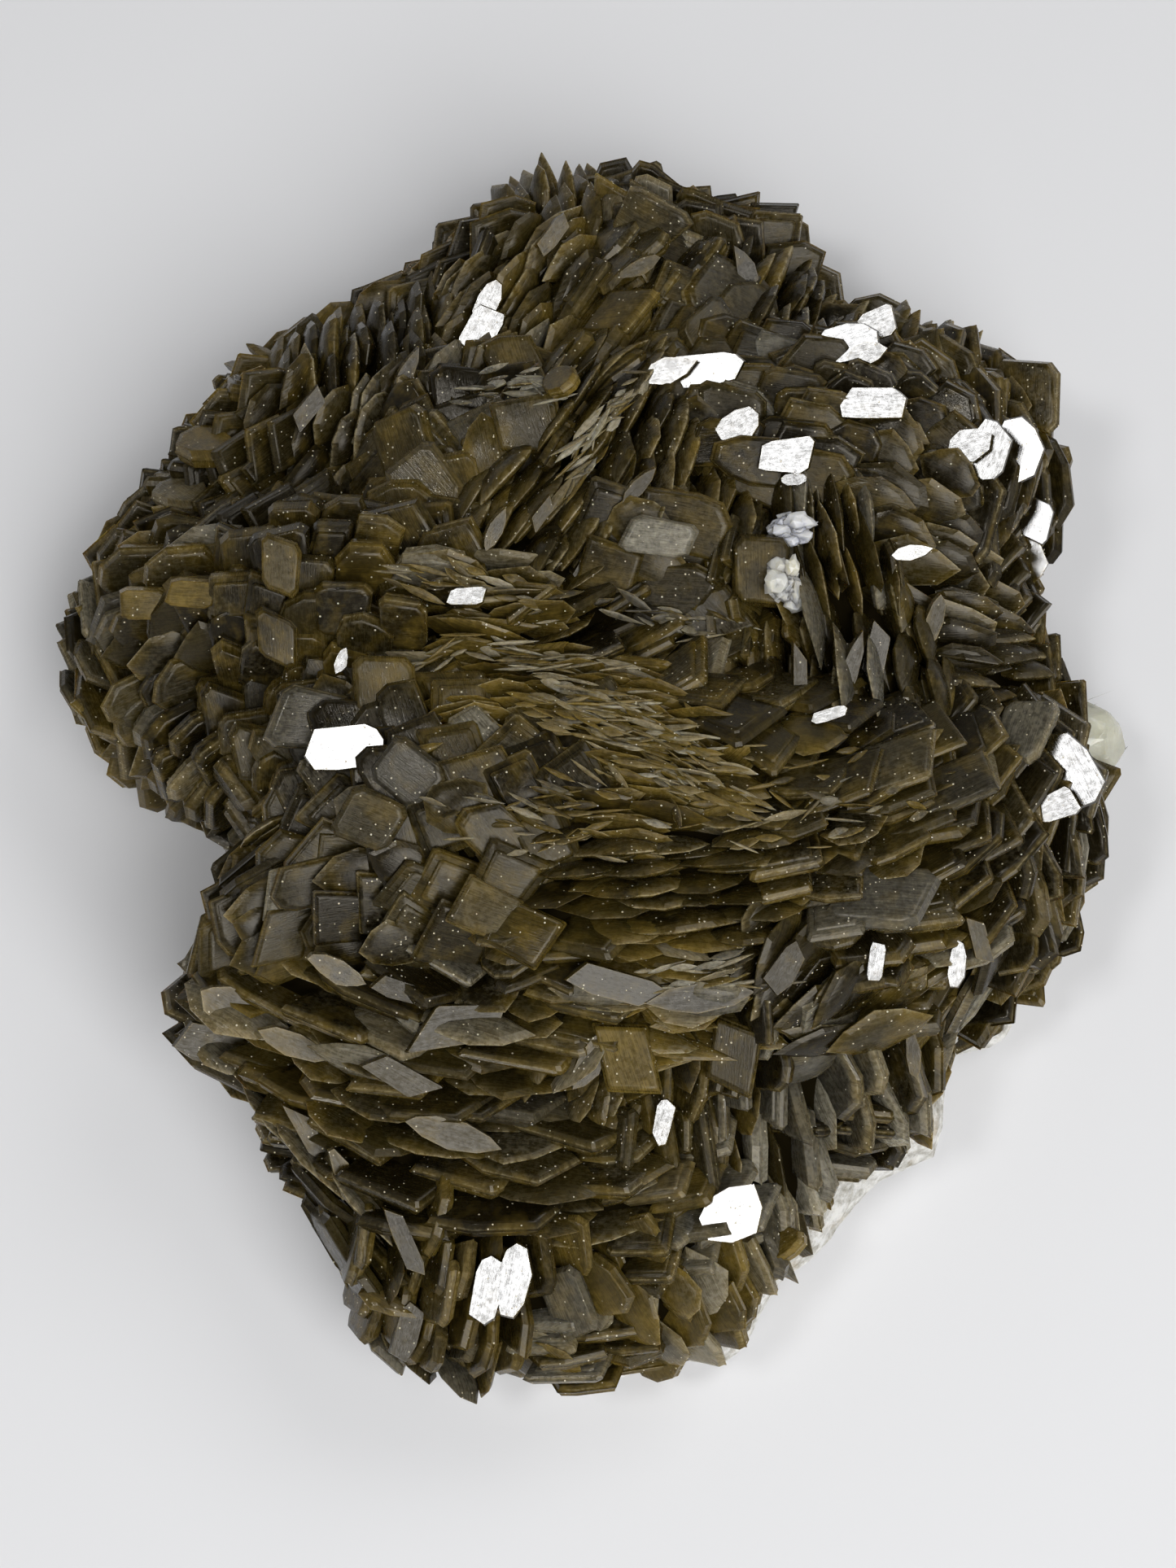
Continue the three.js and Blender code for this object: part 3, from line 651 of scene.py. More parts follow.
class Recipe:
    """A tree of nodes in the making."""

    def __init__(self, tree):
        self.nodes = tree.nodes
        self.links = tree.links

    def give(self, node, **inputs):
        """Sets sockets, called by name or as i2 by number, to values, or joins them to other nodes."""
        for title, value in inputs.items():
            socket = node.inputs[int(title[1:]) if title[1:].isdigit() else title.replace("_", " ")]
            if isinstance(value, bpy.types.NodeSocket):
                self.links.new(value, socket)
            else:
                socket.default_value = value
        return node

    def add(self, kind, settings=None, **inputs):
        node = self.nodes.new("ShaderNode" + kind)
        for title, value in (settings or {}).items():
            setattr(node, title, value)
        return self.give(node, **inputs)

    def place(self):
        return self.add("TexCoord").outputs["Object"]

    def attribute(self, name, output):
        return self.add("Attribute", {"attribute_name": name}).outputs[output]

    def parts(self, vector):
        return self.add("SeparateXYZ", i0=vector).outputs

    def whole(self, x, y, z):
        return self.add("CombineXYZ", i0=x, i1=y, i2=z).outputs[0]

    def noise(self, where, scale, detail, roughness=0.5):
        node = self.add("TexNoise", Vector=where, Scale=scale, Detail=detail, Roughness=roughness)
        return node.outputs[0]

    def stripes(self, value, detail, roughness=0.5):
        """Noise along a value."""
        settings = {"noise_dimensions": "1D"}
        return self.add("TexNoise", settings, W=value, Detail=detail, Roughness=roughness).outputs[0]

    def math(self, operation, *values, clamp=False):
        settings = {"operation": operation, "use_clamp": clamp}
        inputs = {f"i{number}": value for number, value in enumerate(values)}
        return self.add("Math", settings, **inputs).outputs[0]

    def total(self, first, *others):
        for value in others:
            first = self.math("ADD", first, value)
        return first

    def product(self, first, *others):
        for value in others:
            first = self.math("MULTIPLY", first, value)
        return first

    def spread(self, value, low, high, to_low=0.0, to_high=1.0):
        node = self.add("MapRange", Value=value, From_Min=low, From_Max=high, To_Min=to_low, To_Max=to_high)
        return node.outputs[0]

    def blend(self, share, under, over):
        return self.add("Mix", {"data_type": "RGBA"}, i0=share, i6=under, i7=over).outputs[2]

    def ramp(self, value, *stops):
        """A colour for a value, from two stops of a position and a colour."""
        node = self.add("ValToRGB", Fac=value)
        for element, (position, colour) in zip(node.color_ramp.elements, stops):
            element.position = position
            element.color = (*colour, 1)
        return node.outputs[0]

    def relief(self, shader, strength, distance, height):
        bump = self.add("Bump", Strength=strength, Distance=distance, Height=height).outputs[0]
        self.give(shader, Normal=bump)


def new_material(name):
    material = bpy.data.materials.new(name)
    material.use_nodes = True
    recipe = Recipe(material.node_tree)
    return material, recipe, recipe.nodes["Principled BSDF"]


# Roughness from the smoothest spots to the roughest, refraction, shine, strength of the relief, and the
# shine's colour.
SHINES = {
    "olive_siderite": ((0.14, 0.4), 1.55, 0.25, 0.3, (1, 0.94, 0.83, 1)),
    "grey_siderite": ((0.14, 0.5), 1.5, 0.38, 0.4, (1, 0.95, 0.86, 1)),
    "polished_siderite": ((0.06, 0.26), 1.7, 0.5, 0.08, (1, 1, 1, 1)),
}
NEAR_BLACK = (0.008, 0.0058, 0.0018, 1)
OLIVE = (0.034, 0.0245, 0.0053, 1)
HONEY = (0.155, 0.105, 0.018, 1)
# a pale line at the rims: partly wear, partly painted highlight
PALE_RIM_WEAR_AND_HIGHLIGHT = (0.42, 0.36, 0.22, 1)
# a grey sheen: painted reflection, with some dust haze
GREY_SHEEN_AND_HAZE = (0.1, 0.086, 0.052, 1)
FROSTING = (0.36, 0.335, 0.26, 1)
DUST = (0.55, 0.5, 0.38, 1)

# Noise over the whole cluster: scale, detail and roughness.
PATTERNS = {
    "clouds": (260.0, 4.0, 0.6),
    "mottle": (1400.0, 3.0, 0.65),
    "patches": (42.0, 1.0),
    "dusty": (60.0, 2.0),
}
# Noise on each crystal, with how far one crystal's is from the next one's.
BLOTCHES, BLOTCH_SHIFT = (1.3, 3.0, 0.6), 60.0
LINES, LINE_SHIFT = (1.0, 3.0, 0.7), 40.0
LINE_LONG, LINE_FINE = 2.0, 30.0
GROWTH, GROWTH_SHIFT = (2.0, 0.6), 90.0
GROWTH_RINGS, GROWTH_WIDTH = 11.0, 1.25
LAYERING, LAYER_SHIFT, LAYER_COUNT = (1.0,), 70.0, 55.0

# The range of a pattern that counts for something, and what it comes to at either end of that range.
RANGES = {
    "depth_patches": (0.35, 0.65, -0.16, 0.2),
    "depth_lines": (0.3, 0.7, -0.2, 0.2),
    "depth_growth": (0.3, 0.7, -0.08, 0.08),
    "depth_mottle": (0.3, 0.7, -0.1, 0.1),
    "depth_layering": (0.35, 0.65, -0.3, 0.25),
    "olive": (0.3, 1.0),
    "gold_own": (0.0, 1.0, -0.35, 0.55),
    "gold_blotches": (0.45, 0.68, 0.0, 0.55),
    "gold_patches": (0.45, 0.7, 0.0, 0.35),
    # painted glow: the rims turn honey, as if light came through the thin edges
    "painted_rim_glow": (0.1, 0.9, 0.0, 0.55),
    "painted_rim_glow_luck": (0.1, 0.7),
    "streak_mottle": (0.3, 0.65, 0.6, 1.0),
    "streak_lines": (0.34, 0.6, 0.55, 1.05),
    "wear_and_highlight_mottle": (0.38, 0.58),
    "wear_and_highlight_luck": (0.2, 1.0, 0.05, 0.85),
    "wear_and_highlight_clouds": (0.35, 0.6),
    # the painted grey sheen, with some dust haze
    "sheen_haze_mottle": (0.42, 0.7),
    "sheen_haze_clouds": (0.35, 0.6),
    "sheen_haze_luck": (0.55, 1.0, 0.1, 1.2),
    "sheen_haze_up": (-0.1, 0.8, 0.1, 0.6),
    "frost_grain": (0.7, 1.25, 0.25, 1.1),
    "speck_size": (0.6, 1.0, 0.05, 0.22),
    "speck_count": (0.38, 0.66, 0.97, 0.62),
    "speck_up": (0.0, 0.4),
    "gloss_grain": (0.75, 1.25),
    "gloss_shade": (0.0, 0.3, 0.5, 1.0),
}
# the third of these lightens the olive at the rims: painted glow of light through the thin edges
SHADE_DEPTH, CLOUD_DEPTH, PAINTED_RIM_GLOW = 0.55, 0.4, 0.3
WEAR_AND_HIGHLIGHT_EDGE = 9.0  # how close to the rim the wear and the painted highlight stay
SPECK_SCALE = 1700.0
SPECK_DULLS = 0.4
LINE_RELIEF, MOTTLE_RELIEF, RELIEF_DEPTH = 0.6, 0.4, 0.0002
SUBSURFACE = {"Subsurface_Weight": 0.4, "Subsurface_Radius": (1.0, 0.7, 0.25), "Subsurface_Scale": 0.0012}


def siderite_patterns(recipe):
    """What the siderite's colour and gloss are made from."""
    place = recipe.place()
    has = SimpleNamespace(**{name: recipe.noise(place, *values) for name, values in PATTERNS.items()})
    has.shade, has.gold, has.luck = recipe.parts(recipe.attribute("tone", "Vector"))
    has.rim = recipe.attribute("rim", "Fac")
    has.frost = recipe.attribute("frost", "Fac")
    has.up = recipe.parts(recipe.add("NewGeometry").outputs["Normal"])[2]
    along, across, over = recipe.parts(recipe.attribute("seat", "Vector"))
    own = recipe.whole(along, across, recipe.product(has.luck, BLOTCH_SHIFT))
    has.blotches = recipe.noise(own, *BLOTCHES)
    drawn = (recipe.product(along, LINE_LONG), recipe.product(across, LINE_FINE))
    has.lines = recipe.noise(recipe.whole(*drawn, recipe.product(has.luck, LINE_SHIFT)), *LINES)
    wide = recipe.product(recipe.math("ABSOLUTE", across), GROWTH_WIDTH)
    zone = recipe.math("MAXIMUM", recipe.math("ABSOLUTE", along), wide)
    shift = recipe.product(has.luck, GROWTH_SHIFT)
    has.growth = recipe.stripes(recipe.math("MULTIPLY_ADD", zone, GROWTH_RINGS, shift), *GROWTH)
    shift = recipe.product(has.luck, LAYER_SHIFT)
    has.layering = recipe.stripes(recipe.math("MULTIPLY_ADD", over, LAYER_COUNT, shift), *LAYERING)
    grains = recipe.add("TexVoronoi", Vector=place, Scale=SPECK_SCALE)
    grain_luck = recipe.parts(grains.outputs["Color"])[0]
    size = recipe.spread(grain_luck, *RANGES["speck_size"])
    few = recipe.spread(has.dusty, *RANGES["speck_count"])
    near = recipe.math("LESS_THAN", grains.outputs["Distance"], size)
    chosen = recipe.math("GREATER_THAN", grain_luck, few)
    has.speck = recipe.product(near, chosen, recipe.spread(has.up, *RANGES["speck_up"]))
    return has


def siderite_colour(recipe, has):
    """Dark olive with honey blotches, frosting and specks of dust. Painted light too: a honey glow at the
    rims, a pale rim line that is partly wear and partly highlight, and a grey sheen with some dust haze on
    faces that face up.
    """
    def of(pattern, title):
        return recipe.spread(pattern, *RANGES[title])

    depth = recipe.total(
        recipe.product(has.shade, SHADE_DEPTH),
        recipe.product(has.clouds, CLOUD_DEPTH),
        of(has.patches, "depth_patches"),
        of(has.lines, "depth_lines"),
        of(has.growth, "depth_growth"),
        of(has.mottle, "depth_mottle"),
        recipe.product(has.rim, of(has.layering, "depth_layering")),
        # painted glow: lighter olive at the rims
        recipe.product(has.rim, PAINTED_RIM_GLOW))
    colour = recipe.blend(of(depth, "olive"), NEAR_BLACK, OLIVE)
    golden = recipe.total(
        of(has.gold, "gold_own"),
        of(has.blotches, "gold_blotches"),
        of(has.patches, "gold_patches"),
        # painted glow: honey at the rims, on some crystals
        recipe.product(of(has.rim, "painted_rim_glow"), of(has.luck, "painted_rim_glow_luck")))
    streaks = recipe.product(of(has.mottle, "streak_mottle"), of(has.lines, "streak_lines"))
    # honey where the crystal is golden, and where the painted rim glow reaches
    colour = recipe.blend(recipe.math("MULTIPLY", golden, streaks, clamp=True), colour, HONEY)
    # a pale line right at the rim: worn, chipped edges and a painted highlight both
    worn_and_highlit = recipe.product(
        recipe.math("POWER", has.rim, WEAR_AND_HIGHLIGHT_EDGE),
        of(has.mottle, "wear_and_highlight_mottle"),
        of(has.luck, "wear_and_highlight_luck"),
        of(has.clouds, "wear_and_highlight_clouds"))
    colour = recipe.blend(worn_and_highlit, colour, PALE_RIM_WEAR_AND_HIGHLIGHT)
    # painted grey sheen with some dust haze, mostly on faces that face up
    sheen_and_haze = recipe.math("MULTIPLY", of(has.mottle, "sheen_haze_mottle"), of(has.clouds, "sheen_haze_clouds"), clamp=True)
    sheen_and_haze = recipe.product(sheen_and_haze, of(has.luck, "sheen_haze_luck"), of(has.up, "sheen_haze_up"))
    colour = recipe.blend(sheen_and_haze, colour, GREY_SHEEN_AND_HAZE)
    grain = of(recipe.total(has.lines, has.mottle), "frost_grain")
    colour = recipe.blend(recipe.math("MULTIPLY", has.frost, grain, clamp=True), colour, FROSTING)
    return recipe.blend(has.speck, colour, DUST)


def siderite_material(name):
    """Olive-brown siderite that light goes a little way into."""
    material, recipe, shader = new_material(name)
    roughness, refraction, shine, roughening, shine_colour = SHINES[name]
    has = siderite_patterns(recipe)
    gloss = recipe.spread(recipe.total(has.mottle, has.lines), *RANGES["gloss_grain"], *roughness)
    gloss = recipe.product(gloss, recipe.spread(has.shade, *RANGES["gloss_shade"]))
    gloss = recipe.total(gloss, recipe.product(has.speck, SPECK_DULLS))
    height = recipe.total(recipe.product(has.lines, LINE_RELIEF), recipe.product(has.mottle, MOTTLE_RELIEF))
    recipe.relief(shader, roughening, RELIEF_DEPTH, height)
    recipe.give(shader, Base_Color=siderite_colour(recipe, has), Roughness=gloss, IOR=refraction,
                Specular_IOR_Level=shine, Specular_Tint=shine_colour, **SUBSURFACE)
    return material


def plain_material(name, colour, roughness, shine=0.5):
    material, recipe, shader = new_material(name)
    recipe.give(shader, Base_Color=(*colour, 1), Roughness=roughness, Specular_IOR_Level=shine)
    return material


# near black for the mass under the crystals: painted shade in the deep gaps between them
PAINTED_GAP_SHADE = (0.007, 0.0052, 0.002)
PALE_TABLE = (0.72, 0.72, 0.73)
# ramp stops for the rock: the grey at the relief's low spots is painted shade
ROCK_HOLLOW_SHADE, ROCK_GRAINS = (0.35, (0.3, 0.28, 0.23)), (0.6, (0.74, 0.73, 0.7))
ROCK_CLEAN, ROCK_STAINED = (0.56, (0, 0, 0)), (0.72, (0.55, 0.55, 0.55))
OCHRE = (0.42, 0.3, 0.13, 1)


def rock_material():
    """White granular rock, darker where its relief is low, as painted shade in the hollows, with a few ochre
    stains.
    """
    material, recipe, shader = new_material("white_granular_rock")
    place = recipe.place()
    grain = recipe.noise(place, 500.0, 5.0, 0.7)
    fine = recipe.noise(place, 1800.0, 3.0)
    # the grain that makes the relief also darkens its low spots: painted shade in the hollows
    whites_and_hollow_shade = recipe.ramp(grain, ROCK_HOLLOW_SHADE, ROCK_GRAINS)
    stains = recipe.ramp(recipe.noise(place, 90.0, 4.0, 0.6), ROCK_CLEAN, ROCK_STAINED)
    recipe.relief(shader, 0.7, 0.0004, recipe.total(grain, fine))
    recipe.give(shader, Base_Color=recipe.blend(stains, whites_and_hollow_shade, OCHRE), Roughness=0.55, Subsurface_Weight=0.5,
                Subsurface_Radius=(1, 0.9, 0.75), Subsurface_Scale=0.0012)
    return material


def milky_material(name, colour, clearness, roughness):
    """Clouded pale crystal: partly see-through, partly lit from within."""
    cloudiness = 0.82
    material, recipe, shader = new_material(name)
    place = recipe.place()
    clouds = recipe.noise(place, 420.0, 4.0, 0.6)
    tint = recipe.ramp(clouds, (0.3, [value * cloudiness for value in colour]), (0.7, colour))
    recipe.relief(shader, 0.25, 0.0002, recipe.noise(place, 1500.0, 2.0))
    recipe.give(shader, Base_Color=tint, Roughness=roughness, IOR=1.54, Transmission_Weight=clearness,
                Subsurface_Weight=0.9, Subsurface_Radius=(1, 0.92, 0.7), Subsurface_Scale=0.003)
    return material


# ---- Crystals that stand out by themselves --------------------------------------------------------------

# Centre x and y, how far the middle lies over the body, the direction that the upper edge faces, the dip,
# the long way's turn from straight up, the long, wide and thick sizes, how golden, how frosted, the outline.
HEROES = [
    (5.3, -46.2, 6.5, 95, 16, 10, 11.0, 7.8, 2.0, 1.0, 0.0, "rhomb"),
    (18.5, -45.5, 6.0, 80, 22, 5, 10.5, 6.8, 1.8, 0.7, 0.0, "rhomb"),
    (0.2, -46.0, 6.0, 330, 44, 70, 12.0, 6.0, 1.6, 0.2, 0.3, "leaf"),
    (16.7, 54.5, 6.0, 150, 22, 80, 10.0, 7.6, 2.2, 0.35, 0.05, "rhomb_worn"),
    (4.6, 57.1, 7.0, 330, 30, 20, 10.0, 8.0, 2.0, 0.5, 0.0, "rhomb"),
    (8.6, 72.5, 6.0, 60, 46, 90, 10.5, 8.5, 2.4, 0.3, 0.05, "rhomb_worn"),
    (-24.9, -0.6, 6.0, 90, 16, 10, 9.6, 8.6, 2.4, 0.85, 0.0, "rhomb_worn"),
    (-38.6, 13.9, 6.8, 90, 24, 0, 8.2, 5.4, 3.6, 0.9, 0.0, "rhomb_worn"),
    (-39.0, 7.2, 6.2, 90, 26, 0, 7.6, 5.6, 3.4, 0.65, 0.0, "rhomb_worn"),
    (9.6, 19.6, 7.2, 85, 30, 88, 10.5, 5.2, 2.4, 0.1, 0.6, "rhomb_worn"),
    (16.4, 11.1, 5.5, 60, 24, 70, 9.4, 8.8, 2.0, 0.45, 0.0, "rhomb"),
    (22.6, 16.1, 5.0, 90, 22, 0, 10.5, 8.0, 4.0, 0.7, 0.0, "rhomb_worn"),
    (-13.8, -42.4, 5.6, 262, 34, 84, 15.0, 8.5, 2.4, 0.1, 0.22, "leaf"),
    (2.2, -39.5, 6.0, 92, 52, 88, 13.5, 5.6, 2.0, 0.1, 0.3, "leaf"),
    (13.6, -40.1, 5.8, 85, 54, 92, 14.5, 6.0, 2.0, 0.1, 0.26, "leaf_bent"),
    (-44.2, -38.4, 5.6, 250, 20, 80, 14.5, 10.5, 3.0, 0.1, 0.22, "leaf_bent"),
    (-47.0, -40.0, 3.4, 235, 26, 84, 12.5, 8.5, 2.2, 0.1, 0.15, "leaf"),
    (-28.0, -46.2, 5.8, 80, 48, 84, 12.5, 5.4, 1.8, 0.1, 0.3, "leaf"),
    (-57.6, 15.5, 6.2, 92, 34, 90, 7.2, 4.8, 3.0, 1.3, 0.0, "rhomb_worn"),
    (-50.4, 14.1, 6.4, 88, 34, 90, 7.6, 4.2, 2.6, 1.3, 0.0, "rhomb_worn"),
    (-51.5, 41.7, 6.2, 285, 34, 30, 8.8, 7.4, 2.6, 1.1, 0.0, "shield"),
    (-54.6, 36.2, 5.4, 285, 30, 30, 8.0, 6.6, 2.2, 0.9, 0.2, "shield"),
    (-23.6, 36.9, 6.6, 45, 34, 60, 11.2, 9.0, 3.2, 0.6, 0.0, "rhomb_worn"),
    (-21.2, 29.9, 6.4, 60, 30, 70, 10.8, 9.0, 2.8, 0.5, 0.1, "rhomb_worn"),
    (-26.1, -19.9, 6.4, 80, 26, 80, 8.8, 7.4, 2.2, 0.45, 0.05, "rhomb_worn"),
    (-7.7, -33.5, 5.8, 100, 14, 60, 10.2, 7.6, 1.8, 0.55, 0.0, "rhomb"),
    (-11.8, -31.0, 5.6, 100, 16, 62, 9.6, 7.2, 1.8, 0.5, 0.05, "rhomb"),
    (-34.6, -5.7, 6.0, 105, 26, 70, 11.0, 8.6, 2.4, 0.1, 0.15, "rhomb_worn"),
    (-21.7, -13.9, 5.8, 60, 24, 80, 9.4, 7.8, 2.2, 0.1, 0.1, "rhomb_worn"),
    (29.3, 9.7, 6.2, 190, 62, 86, 15.0, 8.0, 1.4, 0.2, 0.26, "spindle"),
    (33.2, 1.8, 6.6, 188, 66, 82, 16.0, 8.5, 1.4, 0.2, 0.22, "spindle"),
    (36.8, 2.1, 6.4, 184, 68, 80, 15.0, 8.0, 1.3, 0.15, 0.3, "spindle"),
    (56.2, -3.4, 6.4, 350, 24, 80, 9.8, 7.6, 2.2, 0.15, 0.25, "rhomb_worn"),
    (62.2, -0.8, 5.0, 20, 34, 60, 9.6, 8.4, 2.0, 0.1, 0.05, "rhomb"),
    (65.0, -6.0, 5.0, 10, 40, 60, 9.0, 7.6, 1.8, 0.3, 0.1, "rhomb"),
    (36.9, -27.7, 5.6, 275, 14, 80, 13.5, 9.6, 2.6, 0.15, 0.2, "rhomb_worn"),
    (38.5, -11.8, 6.0, 300, 20, 82, 12.8, 8.0, 1.8, 0.2, 0.05, "rhomb"),
    (46.4, -12.8, 5.8, 305, 22, 80, 12.0, 7.6, 1.8, 0.25, 0.05, "rhomb"),
    (32.0, -14.5, 5.8, 300, 20, 80, 12.0, 7.6, 1.6, 0.3, 0.0, "rhomb"),
    (61.5, 48.5, 5.8, 30, 32, 60, 11.0, 9.6, 2.8, 0.4, 0.0, "rhomb_worn"),
    (25.9, -65.7, 4.6, 340, 40, 40, 4.8, 3.8, 2.0, 1.3, 0.0, "shield"),
    (-30.8, -63.0, 4.2, 230, 34, 84, 8.5, 4.6, 2.4, 1.1, 0.0, "leaf_bent"),
    (-25.0, -73.5, 4.0, 240, 30, 84, 8.0, 4.6, 2.2, 1.0, 0.05, "leaf_bent"),
    (-39.0, -50.5, 5.0, 225, 60, 84, 15.0, 8.0, 1.6, 0.1, 0.24, "spindle"),
    (-34.5, -55.5, 5.2, 222, 60, 84, 15.0, 8.0, 1.6, 0.1, 0.22, "spindle"),
    (-28.0, -61.5, 5.2, 220, 62, 84, 14.0, 7.6, 1.6, 0.15, 0.24, "spindle"),
    (-3.0, 41.4, 7.6, 330, 40, 20, 5.4, 4.8, 1.8, 1.0, 0.0, "shield"),
]
HERO_SINK = 0.7  # they all lie this much lower
HERO_GOLD = 0.75  # and are golden by this share

# Plates turned to mirror the left light at the camera: centre x and y, how far over the body, the turn,
# and how long and wide.
GLINTS = [
    (-13.1, 60.9, 5.6, 62, 6.4, 3.4), (-13.9, 55.3, 5.6, 60, 7.6, 5.2), (11.2, 45.2, 5.8, 5, 7.2, 4.0),
    (16.6, 45.5, 6.2, 0, 9.0, 5.2), (34.8, 49.7, 6.2, 8, 8.4, 5.4), (39.2, 54.3, 6.4, 20, 6.0, 4.4),
    (37.2, 47.0, 6.4, 0, 5.6, 3.6), (37.8, 38.6, 6.6, -8, 8.6, 5.0), (19.8, 35.2, 6.2, 20, 6.0, 4.4),
    (25.9, 30.1, 6.6, 0, 7.8, 4.8), (50.2, 33.7, 6.4, 10, 6.4, 5.0), (52.8, 33.4, 6.8, 60, 7.4, 6.0),
    (57.4, 34.5, 6.6, 70, 8.6, 7.2), (60.6, 30.0, 5.6, 80, 6.4, 4.6), (60.8, 26.4, 5.4, 80, 7.0, 4.4),
    (-29.1, -9.7, 6.4, 0, 10.0, 6.6), (62.9, -7.2, 6.4, 110, 10.6, 6.8), (60.6, -12.3, 5.8, 20, 5.6, 4.0),
    (19.0, -63.9, 6.0, 40, 9.0, 8.0), (-11.8, -73.2, 5.4, 75, 8.0, 4.4), (-8.6, -72.3, 5.6, 80, 9.2, 4.4),
    (-14.7, 9.8, 6.6, 0, 5.4, 2.4), (42.0, 17.7, 6.6, 0, 5.4, 2.2), (9.9, -52.6, 6.0, 70, 5.4, 2.8),
    (46.8, -33.5, 6.0, 80, 5.8, 2.4), (36.1, -35.2, 6.0, 80, 5.4, 2.2), (-30.6, 4.0, 6.2, 60, 3.2, 2.0),
    (30.5, -6.0, 6.4, 10, 4.6, 1.8), (26.8, 26.6, 7.0, 0, 3.6, 1.6),
]
GLINT_THICK = 0.9
GLINT_OUTLINES = ("shield", "rhomb_worn", "leaf_bent", "slab")

# Plates turned to mirror the front light at the camera, which makes them grey, in the same order.
GREY_FACES = [
    (-14.6, -42.5, 5.8, 14, 13.4, 5.4), (-43.6, -38.6, 5.4, -28, 12.5, 6.0),
    (-47.6, -40.4, 4.0, -8, 12.0, 5.4), (-36.2, -43.4, 5.4, -20, 10.0, 3.6),
    (-23.1, -48.1, 5.6, -24, 10.5, 3.4), (-16.2, -54.7, 5.6, -14, 13.0, 4.2),
    (3.6, -39.0, 6.0, -12, 12.5, 3.8), (14.6, -40.2, 6.0, 6, 13.0, 4.4), (36.8, 4.4, 6.0, 84, 11.5, 3.2),
    (33.0, 0.8, 6.0, 76, 12.0, 2.6), (24.6, -36.6, 6.2, 62, 7.0, 3.4), (0.8, -46.4, 6.2, 60, 8.0, 4.0),
    (-34.2, -54.0, 4.6, -55, 13.0, 2.6), (-29.2, -60.0, 4.8, -55, 12.0, 3.0),
    (-24.4, -66.0, 5.0, -60, 10.0, 2.4), (45.0, 10.5, 6.0, 78, 7.0, 2.6), (27.0, 0.5, 6.0, 96, 9.0, 2.0),
    (-30.4, -36.2, 6.0, -20, 8.0, 3.4), (-22.6, -38.8, 6.0, -12, 7.0, 2.6),
    (7.0, 26.5, 6.4, 48, 6.0, 2.2), (-5.4, 23.0, 6.2, 60, 5.0, 1.8), (-11.4, 20.6, 5.6, 70, 6.0, 2.2),
    (-22.2, -77.0, 4.4, 80, 8.0, 3.2), (41.4, -43.2, 5.4, 100, 7.0, 2.2),
    (48.4, -31.6, 5.8, 110, 7.0, 2.4), (7.6, 64.4, 6.0, 30, 6.0, 2.6), (-4.6, 70.0, 6.0, 60, 6.4, 2.4),
    (22.0, 66.0, 6.0, 120, 6.4, 2.8), (-37.0, 44.0, 5.6, 60, 7.0, 2.6), (-24.0, 49.0, 5.4, 70, 7.0, 2.4),
]
GREY_THICK = 1.7
GREY_OUTLINES = ("rhomb", "leaf", "rhomb_cut", "leaf_bent")
MIRROR_RISE = 0.3  # how much higher both lie
MIRROR_GOLD = 0.1
MIRROR_BENT = 0.1

# Broken, splintery places: centre x and y, how far they spread along and across, the way the splinters run in
# degrees, how many, how golden and how frosted.
SPLINTERY = [
    (-6.0, 3.4, 10.0, 1.8, -12, 34, 1.3, 0.3), (1.0, -3.0, 8.0, 2.4, -24, 36, 1.3, 0.3),
    (4.0, -9.0, 14.0, 5.0, -20, 90, 1.1, 0.1), (12.0, -14.0, 10.0, 5.0, -24, 60, 1.0, 0.1),
    (-7.0, -19.0, 14.0, 5.0, -6, 40, 0.7, 0.0), (-14.0, 12.0, 12.0, 2.0, -12, 36, 0.9, 0.1),
    (-9.0, 43.0, 6.0, 3.0, -20, 24, 0.2, 0.6), (3.0, 37.0, 10.0, 1.6, 52, 30, 1.0, 0.4),
    (-2.0, 27.0, 6.0, 1.2, 48, 12, 0.8, 0.3), (10.0, 10.0, 11.0, 1.6, -4, 24, 0.3, 0.2),
    (14.0, -38.0, 8.0, 2.0, 4, 24, 0.6, 0.4), (-20.0, 3.0, 7.0, 1.6, 30, 14, 1.0, 0.3),
    (30.0, -17.0, 12.0, 5.0, 12, 36, 0.6, 0.0),
]
SPLINTER_SIZES = ((2.6, 7.0), (0.5, 1.6), (0.3, 0.5))  # least and most long, wide and thick
SPLINTER_OVER = (4.8, 6.0)
SPLINTER_TURNS = 0.3  # how much they differ in turn, in lift and in roll
SPLINTER_LIFTS = 0.12
SPLINTER_ROLLS = 0.7
SPLINTER_TONES = 0.3  # and in gold and frost
MOST_GOLD = 1.4
MOST_FROST = 0.9
SPLINTER_BENT = 0.3


def axes_of(long_way, flat):
    return [long_way, np.cross(flat, long_way), flat]


def unit(vector):
    return vector / np.linalg.norm(vector)


def as_arrays(rows):
    """Each crystal's middle, axes, sizes, gold, kind and frost, as an array of each."""
    return [np.array(values) for values in zip(*rows)]


